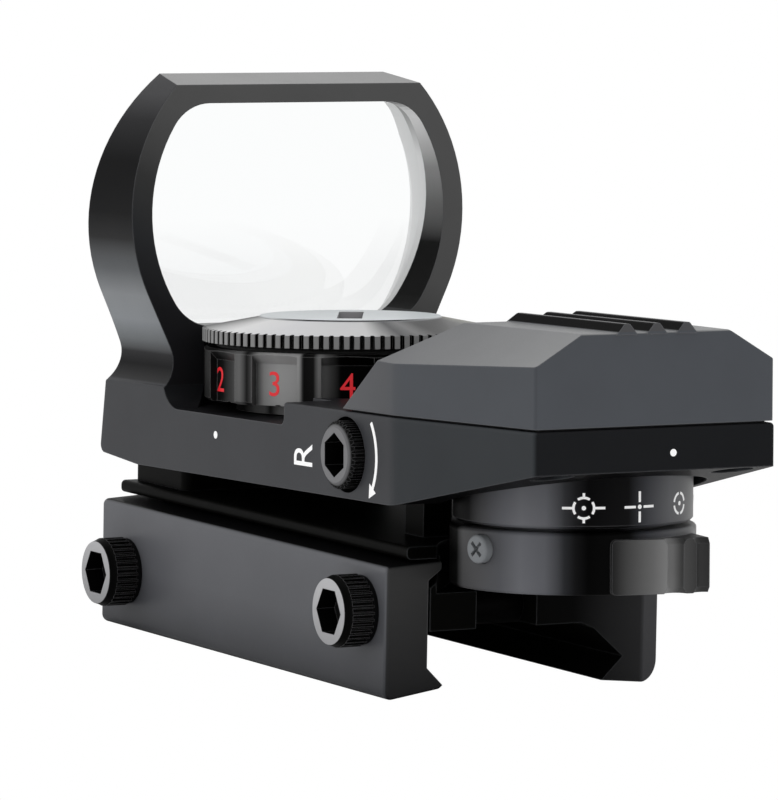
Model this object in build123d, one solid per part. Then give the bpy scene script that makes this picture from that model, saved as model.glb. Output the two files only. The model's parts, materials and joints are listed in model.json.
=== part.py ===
from build123d import *
import math
import os

# Open red dot sight, used as a telescope finder, on a quick clamp for a dovetail rail.
# Millimetres. +X is the user's right, +Y points at the target, +Z is up.
# The origin is the middle of the clamp, on the plane that rests on the rail.
# The optic body is drawn in its own level frame and then placed tail-up on the base.

# Optic body
BODY_LENGTH = 80.0
BODY_HALF_WIDTH = 15.05
BODY_NOSE_Y = 28.9
BODY_NOSE_Z = 4.0
BODY_FRONT_Y = 27.6
BODY_REAR_Y = BODY_NOSE_Y - BODY_LENGTH
BODY_REAR_HALF_WIDTH = 12.5
BODY_BEND_Y = -30.0
BODY_BOTTOM_Z = 3.25
BODY_TOP_Z = 11.3
BODY_TAIL_BOTTOM_Z = 7.4
BODY_TILT = 1.71
BODY_ORIGIN = (0, 28.0, 6.9)

# Hood and lens
HOOD_REAR_Y = 15.3
HOOD_TOP_FRONT_Y = 21.0
HOOD_RADIUS = 18.4
HOOD_CENTRE_Z = 27.9
HOOD_TOP_REAR_Z = 40.4
HOOD_TOP_FRONT_Z = 41.4
NECK_ARC_RADIUS = 3.4
NECK_ARC_CENTRE = (17.35, 13.55)
OPENING_RADIUS = 16.2
OPENING_TOP_Z = 38.6
OPENING_BOTTOM_Z = 16.9
OPENING_TOP_FILLET = 4.5
OPENING_BOTTOM_FILLET = 5.0
OPENING_FLARE = 22.0
LENS_TILT = 9.0
LENS_REAR_Y = 18.9
LENS_THICKNESS = 2.0
LENS_MARGIN = 0.5
SEAL_WIDTH = 0.36

# Brightness dial and battery, on one upright axis
DIAL_X, DIAL_Y = 0.0, 5.0
DIAL_POSITIONS = 12
DIAL_RADIUS = 14.2
DIAL_FACET_RADIUS = 13.2
DIAL_FACET_HALF = 2.5
DIAL_BOTTOM_Z, DIAL_TOP_Z = 10.3, 15.4
DIAL_WELL_RADIUS = 14.75
DIAL_WELL_FLOOR_Z = 9.2
NOTCH_RADIUS = 3.2
CAP_RADIUS = 14.3
CAP_RIM_Z0, CAP_RIM_Z1, CAP_TOP_Z = 15.9, 17.1, 18.3
CAP_FLAT_RADIUS = 8.8
CAP_TEETH = 92
BATTERY_RADIUS, BATTERY_HEIGHT, BATTERY_Z = 10.0, 3.2, 13.0
SPINDLE_RADIUS, SPINDLE_TAIL_RADIUS = 2.5, 1.8
SPINDLE_TOP_Z = 12.15
SWITCH_BOARD_Z0, SWITCH_BOARD_Z1 = 8.05, 8.85
CELL_CUP_RADIUS = 10.3
CAP_PLUG_RADIUS, CAP_PLUG_Z = 12.05, 13.4
COIN_SLOT_LENGTH, COIN_SLOT_WIDTH, COIN_SLOT_DEPTH = 11.0, 2.4, 0.65
COIN_SLOT_TURN = 60
DETENT_BALL_RADIUS = 0.8
DIAL_DETENT_RADIUS = 12.7
DIAL_DETENT_Z = 9.47

# Reticle selector under the tail
DRUM_X, DRUM_Y = 1.2, -34.8
DRUM_RADIUS = 10.95
DRUM_BOTTOM_Z, DRUM_TOP_Z = 1.85, 7.7
DRUM_STUB_RADIUS = 9.0
DRUM_WELL_RADIUS = 12.2
DRUM_WELL_TOP_Z = 8.0
LEVER_RADIUS = 11.25
LEVER_Z0, LEVER_Z1 = -4.1, 1.5
ARM_Z0, ARM_Z1 = -4.1, 0.85
ARM_TURN = -11.0
ARM_START, ARM_END = -0.5, 9.0
ARM_DEPTH = 5.2
ARM_PROUD = 0.35
LEVER_SCREW_RADIUS = 1.3
LEVER_SCREW_Z = -0.25
ARM_GROOVES = (5.6, 8.4)
AXLE_RADIUS = 1.5
RETICLE_RADIUS = 6.0
RETICLE_STEP = 28.0
RETICLES = 4
DISC_Z0, DISC_Z1 = 11.0, 11.4
DISC_RADIUS = 8.6
LAMP_BOARD_Z0, LAMP_BOARD_Z1 = 9.05, 9.65
LEAD_RADIUS = 0.25
WIRE_X, WIRE_Z = 8.0, 8.7

# Emitter cover
COVER_BOTTOM_Z = 11.48
COVER_TOP_Z = 19.8
COVER_FRONT_Y = -20.6
COVER_REAR_Y = -51.35
COVER_SIDE_STEP = 0.1
COVER_SHOULDER_FRONT = (-15.05, -27.0, 16.2)
COVER_SHOULDER_REAR = (-12.4, -51.35, 17.0)
COVER_TOP_REAR = (-7.6, -51.35, 19.8)
RIDGE_PITCH = 3.1
RIDGE_HEIGHT = 0.8
RIDGE_LENGTH = 20.0
COVER_WALL = 1.6
COVER_SCREW_SHANK, COVER_SCREW_HEAD = 0.98, 1.8
COVER_SCREW_HEAD_HEIGHT = 1.2
COVER_SCREW_TIP_Z = 13.4
WINDOW_HALF_WIDTH = 4.3
WINDOW_Z0, WINDOW_Z1 = 12.25, 15.05
WINDOW_Y0, WINDOW_Y1 = -26.95, -26.25
COVER_SCREW_PLACES = ((-12.3, -27.9), (12.3, -25.2), (-9.4, -48.8), (9.4, -48.8))

# Base and clamp
CLAMP_LENGTH = 57.6
FLANGE_HALF_WIDTH = 12.76
FLANGE_Z0, FLANGE_Z1 = 6.7, 7.9
WEB_Z0 = 5.6
RAIL_APEX_X, RAIL_APEX_Z = 10.46, -3.35
RAIL_FLAT_HALF = 5.9
JAW_CORNER = 2.0
PLATE_OUTER_X, PLATE_OUTER_Z = -14.85, -6.25
BLOCK_OUTER_X = 14.5
CLAMP_BOTTOM_Z = -5.9
LEVER_RELIEF_Z = 3.5
CLAMP_SCREW_PLACES = ((23.1, -0.4), (-24.3, 1.7))
CLAMP_SHANK_RADIUS = 1.95
CLAMP_HEAD_LENGTH, CLAMP_HEAD_RADIUS = 3.0, 3.35
WASHER_THICKNESS, WASHER_RADIUS = 0.5, 3.2
HEX_ACROSS_FLATS = 4.0

# Adjusters
KINGPIN_Y = 22.8
KINGPIN_RADIUS = 2.0
HINGE_Y, HINGE_Z = 23.5, 12.3
HINGE_PIN_RADIUS = 1.25
KINGPIN_HEAD_RADIUS, KINGPIN_HEAD_Z = 2.9, 4.1
KINGPIN_TOP_Z = 9.75
HINGE_PIN_HALF = 11.0
HINGE_BOSS_HALF, HINGE_BOSS_RADIUS = 5.8, 2.7
PIVOT_HALF_WIDTH = 11.6
PIVOT_Y0, PIVOT_Y1, PIVOT_TOP_Z = 17.3, 28.3, 10.05
WINDAGE_Y, WINDAGE_Z = -21.5, 7.3
WINDAGE_SEAT_X = -11.75
WINDAGE_HEAD_RADIUS, WINDAGE_HEAD_LENGTH = 3.15, 4.6
WINDAGE_SHANK_LENGTH = 2.75
SPRING_X = -4.6
SPRING_SQUEEZED = 6.85
POST_X0, POST_X1 = -7.9, -4.9
POST_Y0, POST_Y1, POST_TOP_Z = -23.2, -19.8, 16.6
ELEVATION_X, ELEVATION_Y = 11.0, -15.5
ELEVATION_SEAT_Z, ELEVATION_HEAD_HEIGHT = 9.75, 1.9
ELEVATION_SHANK_LENGTH = 9.0
RETAINER_X, RETAINER_Y = 3.5, -14.3
RETAINER_HEAD_Z0, RETAINER_HEAD_Z1 = 16.6, 17.6
RETAINER_SEAT_Z = 4.8
RETAINER_SPRING_Z = 13.65
ADJUSTER_SHANK = 1.5
FIT = 0.03
BIG = 80.0


def upright(radius, z0, z1, x=0.0, y=0.0):
    """Round bar along Z."""
    bar = Cylinder(radius, z1 - z0, align=(Align.CENTER, Align.CENTER, Align.MIN))
    return Pos(x, y, z0) * bar


def crosswise(radius, x0, x1, y, z):
    """Round bar along X."""
    return Pos(x0, y, z) * Rot(0, 90, 0) * upright(radius, 0, x1 - x0)


def block(x0, x1, y0, y1, z0, z1):
    low = (Align.MIN, Align.MIN, Align.MIN)
    return Pos(x0, y0, z0) * Box(x1 - x0, y1 - y0, z1 - z0, align=low)


def along_x(points, x0, x1):
    """Prism along X of an outline given as (y, z)."""
    return extrude(Plane.YZ.offset(x0) * make_face(Polyline(*points, close=True)), x1 - x0)


def along_y(face, y0, y1):
    """Prism along Y of a face drawn as (x, z)."""
    return extrude(Plane.XZ.offset(-y1) * face, y1 - y0)


def along_z(points, z0, z1):
    """Prism along Z of an outline given as (x, y)."""
    return extrude(Pos(0, 0, z0) * make_face(Polyline(*points, close=True)), z1 - z0)


def spun(points, x=0.0, y=0.0):
    """Solid of revolution about an upright axis of an outline given as (r, z)."""
    face = Plane.XZ * make_face(Polyline(*points, close=True))
    return Pos(x, y, 0) * revolve(face, Axis.Z)


def coil(radius, wire, z0, z1, turns, x=0.0, y=0.0):
    """Compression spring between two heights."""
    height = z1 - z0 - 2 * wire
    path = Helix(pitch=height / turns, height=height, radius=radius)
    start = Plane(origin=path @ 0, z_dir=path % 0)
    return Pos(x, y, z0 + wire) * sweep(start * Circle(wire), path, is_frenet=True)


def hex_socket(across_flats, depth):
    """Hexagonal recess opening upwards at Z 0, with a flat facing +X and -X."""
    radius = across_flats / 2 / math.cos(math.pi / 6)
    return Pos(0, 0, -depth) * extrude(RegularPolygon(radius, 6, rotation=30), depth)


def knurled(radius, depth, teeth, height, crest=0.5):
    """Upright bar with grooves all round, from Z 0 up; crest is each tooth's share of the pitch."""
    points = []
    root = radius - depth
    for tooth in range(teeth):
        for step, r in ((0.0, radius), (crest, radius), (crest + 0.12, root), (0.88, root)):
            angle = 2 * math.pi * (tooth + step) / teeth
            points.append((r * math.cos(angle), r * math.sin(angle)))
    return along_z(points, 0, height)


def placed(shape):
    """Put a shape drawn in the optic body's level frame onto the base, tail up."""
    x, y, z = BODY_ORIGIN
    return Pos(x, y, z) * Rot(-BODY_TILT, 0, 0) * Pos(-x, -y, 0) * shape


# ---------------------------------------------------------------- base and clamp

def mount_base():
    half = CLAMP_LENGTH / 2
    flange = block(-FLANGE_HALF_WIDTH, FLANGE_HALF_WIDTH, -half, half, FLANGE_Z0, FLANGE_Z1)
    flange = fillet(flange.edges().filter_by(Axis.Y), 0.45)
    toe = BLOCK_OUTER_X - JAW_CORNER
    heel_z = CLAMP_BOTTOM_Z + JAW_CORNER
    foot = Polyline((-10.25, 0), (-5.35, 0), (-5.35, WEB_Z0), (1.07, WEB_Z0), (1.07, 0), (RAIL_FLAT_HALF, 0),
                    (RAIL_FLAT_HALF + 1.4, -0.6), (RAIL_APEX_X, RAIL_APEX_Z), (8.2, CLAMP_BOTTOM_Z + 0.4),
                    (toe, CLAMP_BOTTOM_Z))
    corner = RadiusArc((toe, CLAMP_BOTTOM_Z), (BLOCK_OUTER_X, heel_z), -JAW_CORNER)
    rest = Polyline((BLOCK_OUTER_X, heel_z), (BLOCK_OUTER_X, 5.6), (13.4, 6.5), (12.2, FLANGE_Z0 + 0.3),
                    (-8.1, FLANGE_Z0 + 0.3), (-8.1, WEB_Z0), (-10.25, 4.0), (-10.25, 0))
    body = along_y(make_face(Wire([*foot.edges(), corner.edge(), *rest.edges()])), -half, half)
    body = body + flange
    # Relief that lets the selector and its lever turn above the rear end
    body -= upright(LEVER_RADIUS + 1.1, LEVER_RELIEF_Z, 20, DRUM_X, DRUM_Y)
    # Shallow bevel at the rear of the fixed jaw
    body -= along_z([(12.7, -half - 1), (12.7, -half), (BLOCK_OUTER_X, 0.6 - half),
                     (BLOCK_OUTER_X + 1, 0.6 - half), (BLOCK_OUTER_X + 1, -half - 1)], -10, 10)
    body -= upright(KINGPIN_RADIUS + FIT, 4, 10, 0, KINGPIN_Y)
    body -= upright(KINGPIN_HEAD_RADIUS + 0.4, -8, WEB_Z0, 0, KINGPIN_Y)
    body -= upright(ADJUSTER_SHANK + FIT, 0.9, 12, RETAINER_X, RETAINER_Y)
    for y, z in CLAMP_SCREW_PLACES:
        body -= crosswise(CLAMP_SHANK_RADIUS + 0.1, -20, RAIL_FLAT_HALF + 0.1, y, z)
        body -= crosswise(CLAMP_SHANK_RADIUS + FIT, RAIL_FLAT_HALF, 13.2, y, z)
    post = block(POST_X0, POST_X1, POST_Y0, POST_Y1, FLANGE_Z1 - 0.4, POST_TOP_Z)
    post = chamfer(post.edges().group_by(Axis.Z)[-1], 0.4)
    return body + post


def clamp_plate():
    half = CLAMP_LENGTH / 2
    outline = Polyline((PLATE_OUTER_X, PLATE_OUTER_Z), (PLATE_OUTER_X, 6.15), (-9.1, 6.5), (-9.1, 5.7),
                       (-RAIL_APEX_X, 4.7), (-RAIL_APEX_X, RAIL_APEX_Z), (-8.8, -5.0), (-9.15, -5.4),
                       close=True)
    plate = along_y(make_face(outline), -half, half)
    rows = plate.edges().filter_by(Axis.Y).group_by(Axis.X)[0].sort_by(Axis.Z)
    plate = fillet(rows[0], 0.8)
    rows = plate.edges().filter_by(Axis.Y).sort_by(Axis.Z)
    top = [edge for edge in rows if abs(edge.center().X - PLATE_OUTER_X) < 0.01][-1]
    plate = fillet(top, 0.6)
    corners = plate.edges().filter_by(Axis.Z).group_by(Axis.X)[0]
    plate = fillet(corners, 0.4)
    for y, z in CLAMP_SCREW_PLACES:
        plate -= crosswise(CLAMP_SHANK_RADIUS + 0.05, -20, 0, y, z)
    return plate


def clamp_screw(y, z):
    """Socket screw along X, with a knurled and tapered head outside the plate."""
    head = knurled(CLAMP_HEAD_RADIUS, 0.35, 32, CLAMP_HEAD_LENGTH, crest=0.3)
    cone = spun([(0, -1), (4, -1), (4, 1.2), (CLAMP_HEAD_RADIUS - 0.1, CLAMP_HEAD_LENGTH - 0.6),
                 (CLAMP_HEAD_RADIUS - 0.3, CLAMP_HEAD_LENGTH), (0, CLAMP_HEAD_LENGTH)])
    core = upright(CLAMP_HEAD_RADIUS - 0.3, 0, CLAMP_HEAD_LENGTH)
    band = upright(CLAMP_HEAD_RADIUS, CLAMP_HEAD_LENGTH - 0.75, CLAMP_HEAD_LENGTH)
    head = (head + core + band) & cone
    head -= Pos(0, 0, CLAMP_HEAD_LENGTH) * hex_socket(HEX_ACROSS_FLATS, 1.9)
    reach = 12.9 - PLATE_OUTER_X + WASHER_THICKNESS
    screw = head + upright(CLAMP_SHANK_RADIUS, -reach, 0.1)
    seat_x = PLATE_OUTER_X - WASHER_THICKNESS
    return Pos(seat_x, y, z) * Rot(0, -90, 0) * screw


def clamp_washers():
    washers = []
    for y, z in CLAMP_SCREW_PLACES:
        ring = crosswise(WASHER_RADIUS, PLATE_OUTER_X - WASHER_THICKNESS, PLATE_OUTER_X, y, z)
        ring = fillet(ring.edges().group_by(Axis.X)[0], 0.15)
        ring -= crosswise(CLAMP_SHANK_RADIUS + 0.05, -20, 0, y, z)
        washers.append(ring.solid())
    return Compound(washers)


# ---------------------------------------------------------------- pivots

def pivot_block():
    plate = block(-PIVOT_HALF_WIDTH, PIVOT_HALF_WIDTH, PIVOT_Y0, PIVOT_Y1, FLANGE_Z1 + 0.05, PIVOT_TOP_Z)
    plate = fillet(plate.edges().filter_by(Axis.Z), 1.0)
    plate = chamfer(plate.edges().group_by(Axis.Z)[-1], 0.25)
    boss = block(-HINGE_BOSS_HALF, HINGE_BOSS_HALF, HINGE_Y - HINGE_BOSS_RADIUS,
                 HINGE_Y + HINGE_BOSS_RADIUS, PIVOT_TOP_Z - 0.5, HINGE_Z)
    boss += crosswise(HINGE_BOSS_RADIUS, -HINGE_BOSS_HALF, HINGE_BOSS_HALF, HINGE_Y, HINGE_Z)
    whole = plate + boss
    whole -= crosswise(HINGE_PIN_RADIUS + FIT, -20, 20, HINGE_Y, HINGE_Z)
    whole -= upright(KINGPIN_RADIUS + 0.01, 0, KINGPIN_TOP_Z + 0.05, 0, KINGPIN_Y)
    return whole


def windage_pivot_pin():
    head = upright(KINGPIN_HEAD_RADIUS, KINGPIN_HEAD_Z, WEB_Z0 - 0.05, 0, KINGPIN_Y)
    head = chamfer(head.edges().group_by(Axis.Z)[0], 0.3)
    pin = head + upright(KINGPIN_RADIUS, WEB_Z0 - 0.1, KINGPIN_TOP_Z, 0, KINGPIN_Y)
    pin -= Pos(0, KINGPIN_Y, KINGPIN_HEAD_Z) * Rot(180, 0, 0) * hex_socket(2.0, 1.0)
    return pin


def elevation_hinge_pin():
    pin = crosswise(HINGE_PIN_RADIUS, -HINGE_PIN_HALF, HINGE_PIN_HALF, HINGE_Y, HINGE_Z)
    return chamfer(pin.edges(), 0.2)


# ---------------------------------------------------------------- optic body

def body_outline(inset=0.0, front=BODY_FRONT_Y):
    wide, narrow = BODY_HALF_WIDTH - inset, BODY_REAR_HALF_WIDTH - inset
    rear = BODY_REAR_Y + inset
    return [(-wide, front), (wide, front), (wide, BODY_BEND_Y), (narrow, rear), (-narrow, rear),
            (-wide, BODY_BEND_Y)]


def hood_face():
    """Outer outline of the hood as (x, z): neck arcs, round sides and a flat top."""
    ax, az = NECK_ARC_CENTRE
    dx, dz = ax, az - HOOD_CENTRE_Z
    turn = math.acos((HOOD_RADIUS + NECK_ARC_RADIUS) / math.hypot(dx, dz))
    angle = math.atan2(dz, dx) + turn
    side = (HOOD_RADIUS * math.cos(angle), HOOD_CENTRE_Z + HOOD_RADIUS * math.sin(angle))
    neck = (ax - NECK_ARC_RADIUS * math.cos(angle), az - NECK_ARC_RADIUS * math.sin(angle))
    foot_z = BODY_TOP_Z - 0.2
    foot = (ax - math.sqrt(NECK_ARC_RADIUS ** 2 - (foot_z - az) ** 2), foot_z)
    waist = (ax - NECK_ARC_RADIUS, az)
    crown = (0.0, HOOD_CENTRE_Z + HOOD_RADIUS)
    right = [ThreePointArc(foot, waist, neck), Line(neck, side)]
    left = [edge.mirror(Plane.YZ) for edge in right]
    over = ThreePointArc(side, crown, (-side[0], side[1]))
    under = Line(foot, (-foot[0], foot[1]))
    return make_face(Wire([*[e.edge() for e in right], *[e.edge() for e in left],
                           over.edge(), under.edge()]))


def opening_face(margin=0.0):
    """Clear opening of the hood as (x, z), grown by a margin."""
    low, high = OPENING_BOTTOM_Z - HOOD_CENTRE_Z, OPENING_TOP_Z - HOOD_CENTRE_Z
    disc = Circle(OPENING_RADIUS)
    band = Pos(0, (low + high) / 2) * Rectangle(BIG, high - low)
    shape = disc & band
    corners = shape.vertices().group_by(Axis.Y)
    shape = fillet(corners[0], OPENING_BOTTOM_FILLET)
    shape = fillet(shape.vertices().group_by(Axis.Y)[-1], OPENING_TOP_FILLET)
    if margin:
        shape = offset(shape, amount=margin)
    return Pos(0, HOOD_CENTRE_Z) * shape


def lens_slab(depth, ahead=0.0):
    """Slab between two planes tilted like the lens, starting at its rear face."""
    slab = Box(BIG, depth, BIG, align=(Align.CENTER, Align.MIN, Align.CENTER))
    return Pos(0, LENS_REAR_Y, HOOD_CENTRE_Z) * Rot(LENS_TILT, 0, 0) * Pos(0, ahead, 0) * slab


def hood_side_outline():
    """Side view of the hood as a closed face in (y, z), with a bowed front."""
    front = Spline((BODY_FRONT_Y, BODY_TOP_Z), (26.4, 13.8), (25.4, 21.0), (24.8, 27.0), (23.5, 33.5),
                   (HOOD_TOP_FRONT_Y, HOOD_TOP_FRONT_Z))
    rest = Polyline((HOOD_TOP_FRONT_Y, HOOD_TOP_FRONT_Z), (HOOD_REAR_Y, HOOD_TOP_REAR_Z), (HOOD_REAR_Y, 8.0),
                    (BODY_FRONT_Y, 8.0), (BODY_FRONT_Y, BODY_TOP_Z))
    return make_face(Wire([front.edge(), *rest.edges()]))


def main_casting():
    """Solid outside of the optic body: a tapered tray with the hood on its front."""
    side = [(BODY_NOSE_Y, BODY_NOSE_Z), (20.8, BODY_BOTTOM_Z), (BODY_BEND_Y, BODY_BOTTOM_Z),
            (BODY_REAR_Y, BODY_TAIL_BOTTOM_Z), (BODY_REAR_Y, BODY_TOP_Z), (BODY_FRONT_Y, BODY_TOP_Z)]
    tray = along_x(side, -BIG, BIG) & along_z(body_outline(0.0, BODY_NOSE_Y), 0, 20)
    tray = fillet(tray.edges().filter_by(Axis.X).group_by(Axis.Y)[-1], 0.8)
    bend = tray.edges().filter_by(Axis.Z).group_by(Axis.Y)[1]
    tray = fillet(bend, 6.0)
    tail = tray.edges().filter_by(Axis.Z).group_by(Axis.Y)[0]
    tray = fillet(tail, 0.5)
    knee = [e for e in tray.edges().filter_by(Axis.X) if abs(e.center().Y - BODY_BEND_Y) < 0.5]
    tray = fillet(knee, 12.0)
    top = tray.edges().group_by(Axis.Z)[-1]
    tray = fillet(top, 0.35)
    hood = along_y(hood_face(), HOOD_REAR_Y, BODY_FRONT_Y)
    hood = hood & extrude(Plane.YZ.offset(-BIG) * hood_side_outline(), 2 * BIG)
    return tray + hood


def side_window(x0, x1):
    """Finger notch beside the dial, curving up towards the hood."""
    floor_z, rim_z = DIAL_WELL_FLOOR_Z, BODY_TOP_Z
    centre_y = HOOD_REAR_Y - math.sqrt(NOTCH_RADIUS ** 2 - (floor_z + NOTCH_RADIUS - rim_z) ** 2)
    curve = RadiusArc((HOOD_REAR_Y, rim_z), (centre_y, floor_z), NOTCH_RADIUS)
    rest = Polyline((centre_y, floor_z), (-9.4, floor_z), (-9.4, 14.0), (HOOD_REAR_Y, 14.0),
                    (HOOD_REAR_Y, rim_z))
    profile = make_face(Wire([curve.edge(), *rest.edges()]))
    notch = extrude(Plane.YZ.offset(x0) * profile, x1 - x0)
    floor_edge = notch.edges().filter_by(Axis.X).group_by(Axis.Z)[0]
    return fillet(floor_edge.group_by(Axis.Y)[0], 0.7)


def main_body():
    body = main_casting()
    body -= along_y(opening_face(), 0, 40)
    # The opening flares forwards of the lens
    mouth = Plane.XZ.offset(-(LENS_REAR_Y + LENS_THICKNESS)) * opening_face()
    body -= extrude(mouth, amount=-BIG / 4, taper=-OPENING_FLARE)
    body -= along_y(opening_face(LENS_MARGIN + SEAL_WIDTH + 0.04), 0, 40) & lens_slab(BIG)
    # Well for the dial and the finger notches beside it
    body -= upright(DIAL_WELL_RADIUS, DIAL_WELL_FLOOR_Z, 18.0, DIAL_X, DIAL_Y)
    body -= side_window(-BODY_HALF_WIDTH - 1, -10.0)
    body -= side_window(10.0, BODY_HALF_WIDTH + 1)
    body -= upright(10.0, SWITCH_BOARD_Z0 - 0.05, 10, DIAL_X, DIAL_Y)
    body -= upright(SPINDLE_TAIL_RADIUS + 0.01, 4.6, 9, DIAL_X, DIAL_Y)
    body -= upright(DETENT_BALL_RADIUS + 0.05, 6.6, 10, DIAL_X, DIAL_Y - DIAL_DETENT_RADIUS)
    # Selector well, its bearing, the disc chamber above it and the lamp pocket
    body -= upright(DRUM_WELL_RADIUS, -5, DRUM_WELL_TOP_Z, DRUM_X, DRUM_Y)
    body -= upright(AXLE_RADIUS + FIT, 0, 20, DRUM_X, DRUM_Y)
    body -= upright(DISC_RADIUS + 0.7, DISC_Z0 - 0.6, 20, DRUM_X, DRUM_Y)
    body -= upright(DETENT_BALL_RADIUS + 0.05, 5, 10.1, DRUM_X, DRUM_Y - RETICLE_RADIUS)
    lamp_y = lamp_place()[1]
    body -= block(-2.7, 2.7, lamp_y - 2.2, lamp_y + 2.2, 9.0, 20)
    # Wire way from the switch pocket to the lamp
    body -= Pos(WIRE_X, -0.5, WIRE_Z) * Rot(90, 0, 0) * upright(0.7, 0, 25.2)
    body -= upright(1.0, WIRE_Z - 0.5, 20, WIRE_X, -25.6)
    body -= block(2.0, 8.4, -27.4, -25.3, 9.4, 20)
    # Pocket for the front hinge boss, and its cross hole drilled from the right
    pocket_half = HINGE_BOSS_HALF + 0.5
    body -= block(-pocket_half, pocket_half, HINGE_Y - 3.5, HINGE_Y + 3.1, -5, 8.8)
    hinge = Vector(0, HINGE_Y, HINGE_Z)
    level = (Pos(*BODY_ORIGIN) * Rot(-BODY_TILT, 0, 0) * Pos(0, -BODY_ORIGIN[1], 0)).inverse()
    spot = (level * Pos(hinge.X, hinge.Y, hinge.Z)).position
    body -= crosswise(HINGE_PIN_RADIUS + 0.01, -HINGE_PIN_HALF - 0.05, 20, spot.Y, spot.Z)
    # Windage screw, its counterbore and the pocket for the base post
    body -= block(POST_X0 - 1.9, 3.0, POST_Y0 - 1.2, POST_Y1 + 1.2, -5, WINDAGE_Z + 3.0)
    body -= crosswise(ADJUSTER_SHANK + FIT, -20, -9, WINDAGE_Y, WINDAGE_Z)
    body -= crosswise(WINDAGE_HEAD_RADIUS + 0.35, -20, WINDAGE_SEAT_X + 0.25, WINDAGE_Y, WINDAGE_Z)
    # Elevation screw and the spring-loaded retaining screw
    body -= upright(ADJUSTER_SHANK + FIT, 0, 20, ELEVATION_X, ELEVATION_Y)
    body -= upright(2.9, ELEVATION_SEAT_Z - 0.05, 20, ELEVATION_X, ELEVATION_Y)
    body -= upright(2.3, 0, 20, RETAINER_X, RETAINER_Y)
    body -= upright(3.7, RETAINER_SEAT_Z, 20, RETAINER_X, RETAINER_Y)
    for x, y in COVER_SCREW_PLACES:
        body -= upright(COVER_SCREW_SHANK + 0.32, 0, 20, x, y)
        body -= upright(COVER_SCREW_HEAD + 0.15, 0, cover_screw_seat(y), x, y)
    return body


def lens():
    return along_y(opening_face(LENS_MARGIN), 0, 40) & lens_slab(LENS_THICKNESS)


def lens_seal():
    ring = opening_face(LENS_MARGIN + SEAL_WIDTH) - opening_face(LENS_MARGIN + 0.01)
    return along_y(ring, 0, 40) & lens_slab(LENS_THICKNESS - 0.1)


# ---------------------------------------------------------------- brightness dial and battery

def brightness_dial():
    ring = upright(DIAL_RADIUS, DIAL_BOTTOM_Z, DIAL_TOP_Z, DIAL_X, DIAL_Y)
    ring = chamfer(ring.edges(), 0.3)
    facet = [(DIAL_FACET_RADIUS, DIAL_BOTTOM_Z - 1), (DIAL_RADIUS + 1, DIAL_BOTTOM_Z - 1),
             (DIAL_RADIUS + 1, DIAL_TOP_Z + 0.9), (DIAL_FACET_RADIUS, DIAL_TOP_Z - 1.1)]
    cutter = along_y(make_face(Polyline(*facet, close=True)), -DIAL_FACET_HALF, DIAL_FACET_HALF)
    for k in range(DIAL_POSITIONS):
        ring -= Pos(DIAL_X, DIAL_Y, 0) * Rot(0, 0, 360 * k / DIAL_POSITIONS) * cutter
    ring += upright(11.0, DIAL_WELL_FLOOR_Z + 0.1, DIAL_BOTTOM_Z, DIAL_X, DIAL_Y)
    ring -= upright(9.5, 9, DIAL_BOTTOM_Z, DIAL_X, DIAL_Y)
    ring -= upright(12.1, 12.2, 20, DIAL_X, DIAL_Y)
    ring -= upright(13.0, 14.9, 20, DIAL_X, DIAL_Y)
    ring -= upright(4.2, 11.5, 20, DIAL_X, DIAL_Y)
    ring -= upright(SPINDLE_RADIUS + FIT, 0, 20, DIAL_X, DIAL_Y)
    dimple = Pos(0, -DIAL_DETENT_RADIUS, 9.7) * Sphere(DETENT_BALL_RADIUS + 0.05)
    for k in range(DIAL_POSITIONS):
        ring -= Pos(DIAL_X, DIAL_Y, 0) * Rot(0, 0, 360 * k / DIAL_POSITIONS) * dimple
    return ring


def battery_cap():
    rim = Pos(DIAL_X, DIAL_Y, CAP_RIM_Z0) * knurled(CAP_RADIUS, 0.4, CAP_TEETH, CAP_TOP_Z - CAP_RIM_Z0)
    dome = spun([(0, CAP_RIM_Z0), (CAP_RADIUS, CAP_RIM_Z0), (CAP_RADIUS, CAP_RIM_Z1),
                 (CAP_FLAT_RADIUS, CAP_TOP_Z - 0.15), (CAP_FLAT_RADIUS, CAP_TOP_Z), (0, CAP_TOP_Z)],
                DIAL_X, DIAL_Y)
    dome = chamfer(dome.edges().group_by(Axis.Z)[-1], 0.1)
    cap = (rim & dome) + upright(CAP_PLUG_RADIUS, CAP_PLUG_Z, CAP_RIM_Z0 + 0.1, DIAL_X, DIAL_Y)
    cap -= upright(CELL_CUP_RADIUS, 13, 16.35, DIAL_X, DIAL_Y)
    slot = Box(COIN_SLOT_LENGTH, COIN_SLOT_WIDTH, 2 * COIN_SLOT_DEPTH)
    return cap - Pos(DIAL_X, DIAL_Y, CAP_TOP_Z) * Rot(0, 0, COIN_SLOT_TURN) * slot


def battery_cap_seal():
    return Pos(DIAL_X, DIAL_Y, 15.45) * Torus(12.52, 0.42)


def battery():
    can = upright(BATTERY_RADIUS, BATTERY_Z + 0.4, BATTERY_Z + BATTERY_HEIGHT, DIAL_X, DIAL_Y)
    can = fillet(can.edges(), 0.3)
    return can + upright(8.6, BATTERY_Z, BATTERY_Z + 0.5, DIAL_X, DIAL_Y)


def battery_contact():
    """Three-armed leaf spring under the cell."""
    leaf = upright(7.0, 12.28, 12.48, DIAL_X, DIAL_Y) - upright(3.0, 12, 13, DIAL_X, DIAL_Y)
    for k in range(3):
        arm = block(3.4, 6.6, -0.8, 0.8, 12.4, 12.95)
        leaf += Pos(DIAL_X, DIAL_Y, 0) * Rot(0, 0, 120 * k) * arm
    return leaf


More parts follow.
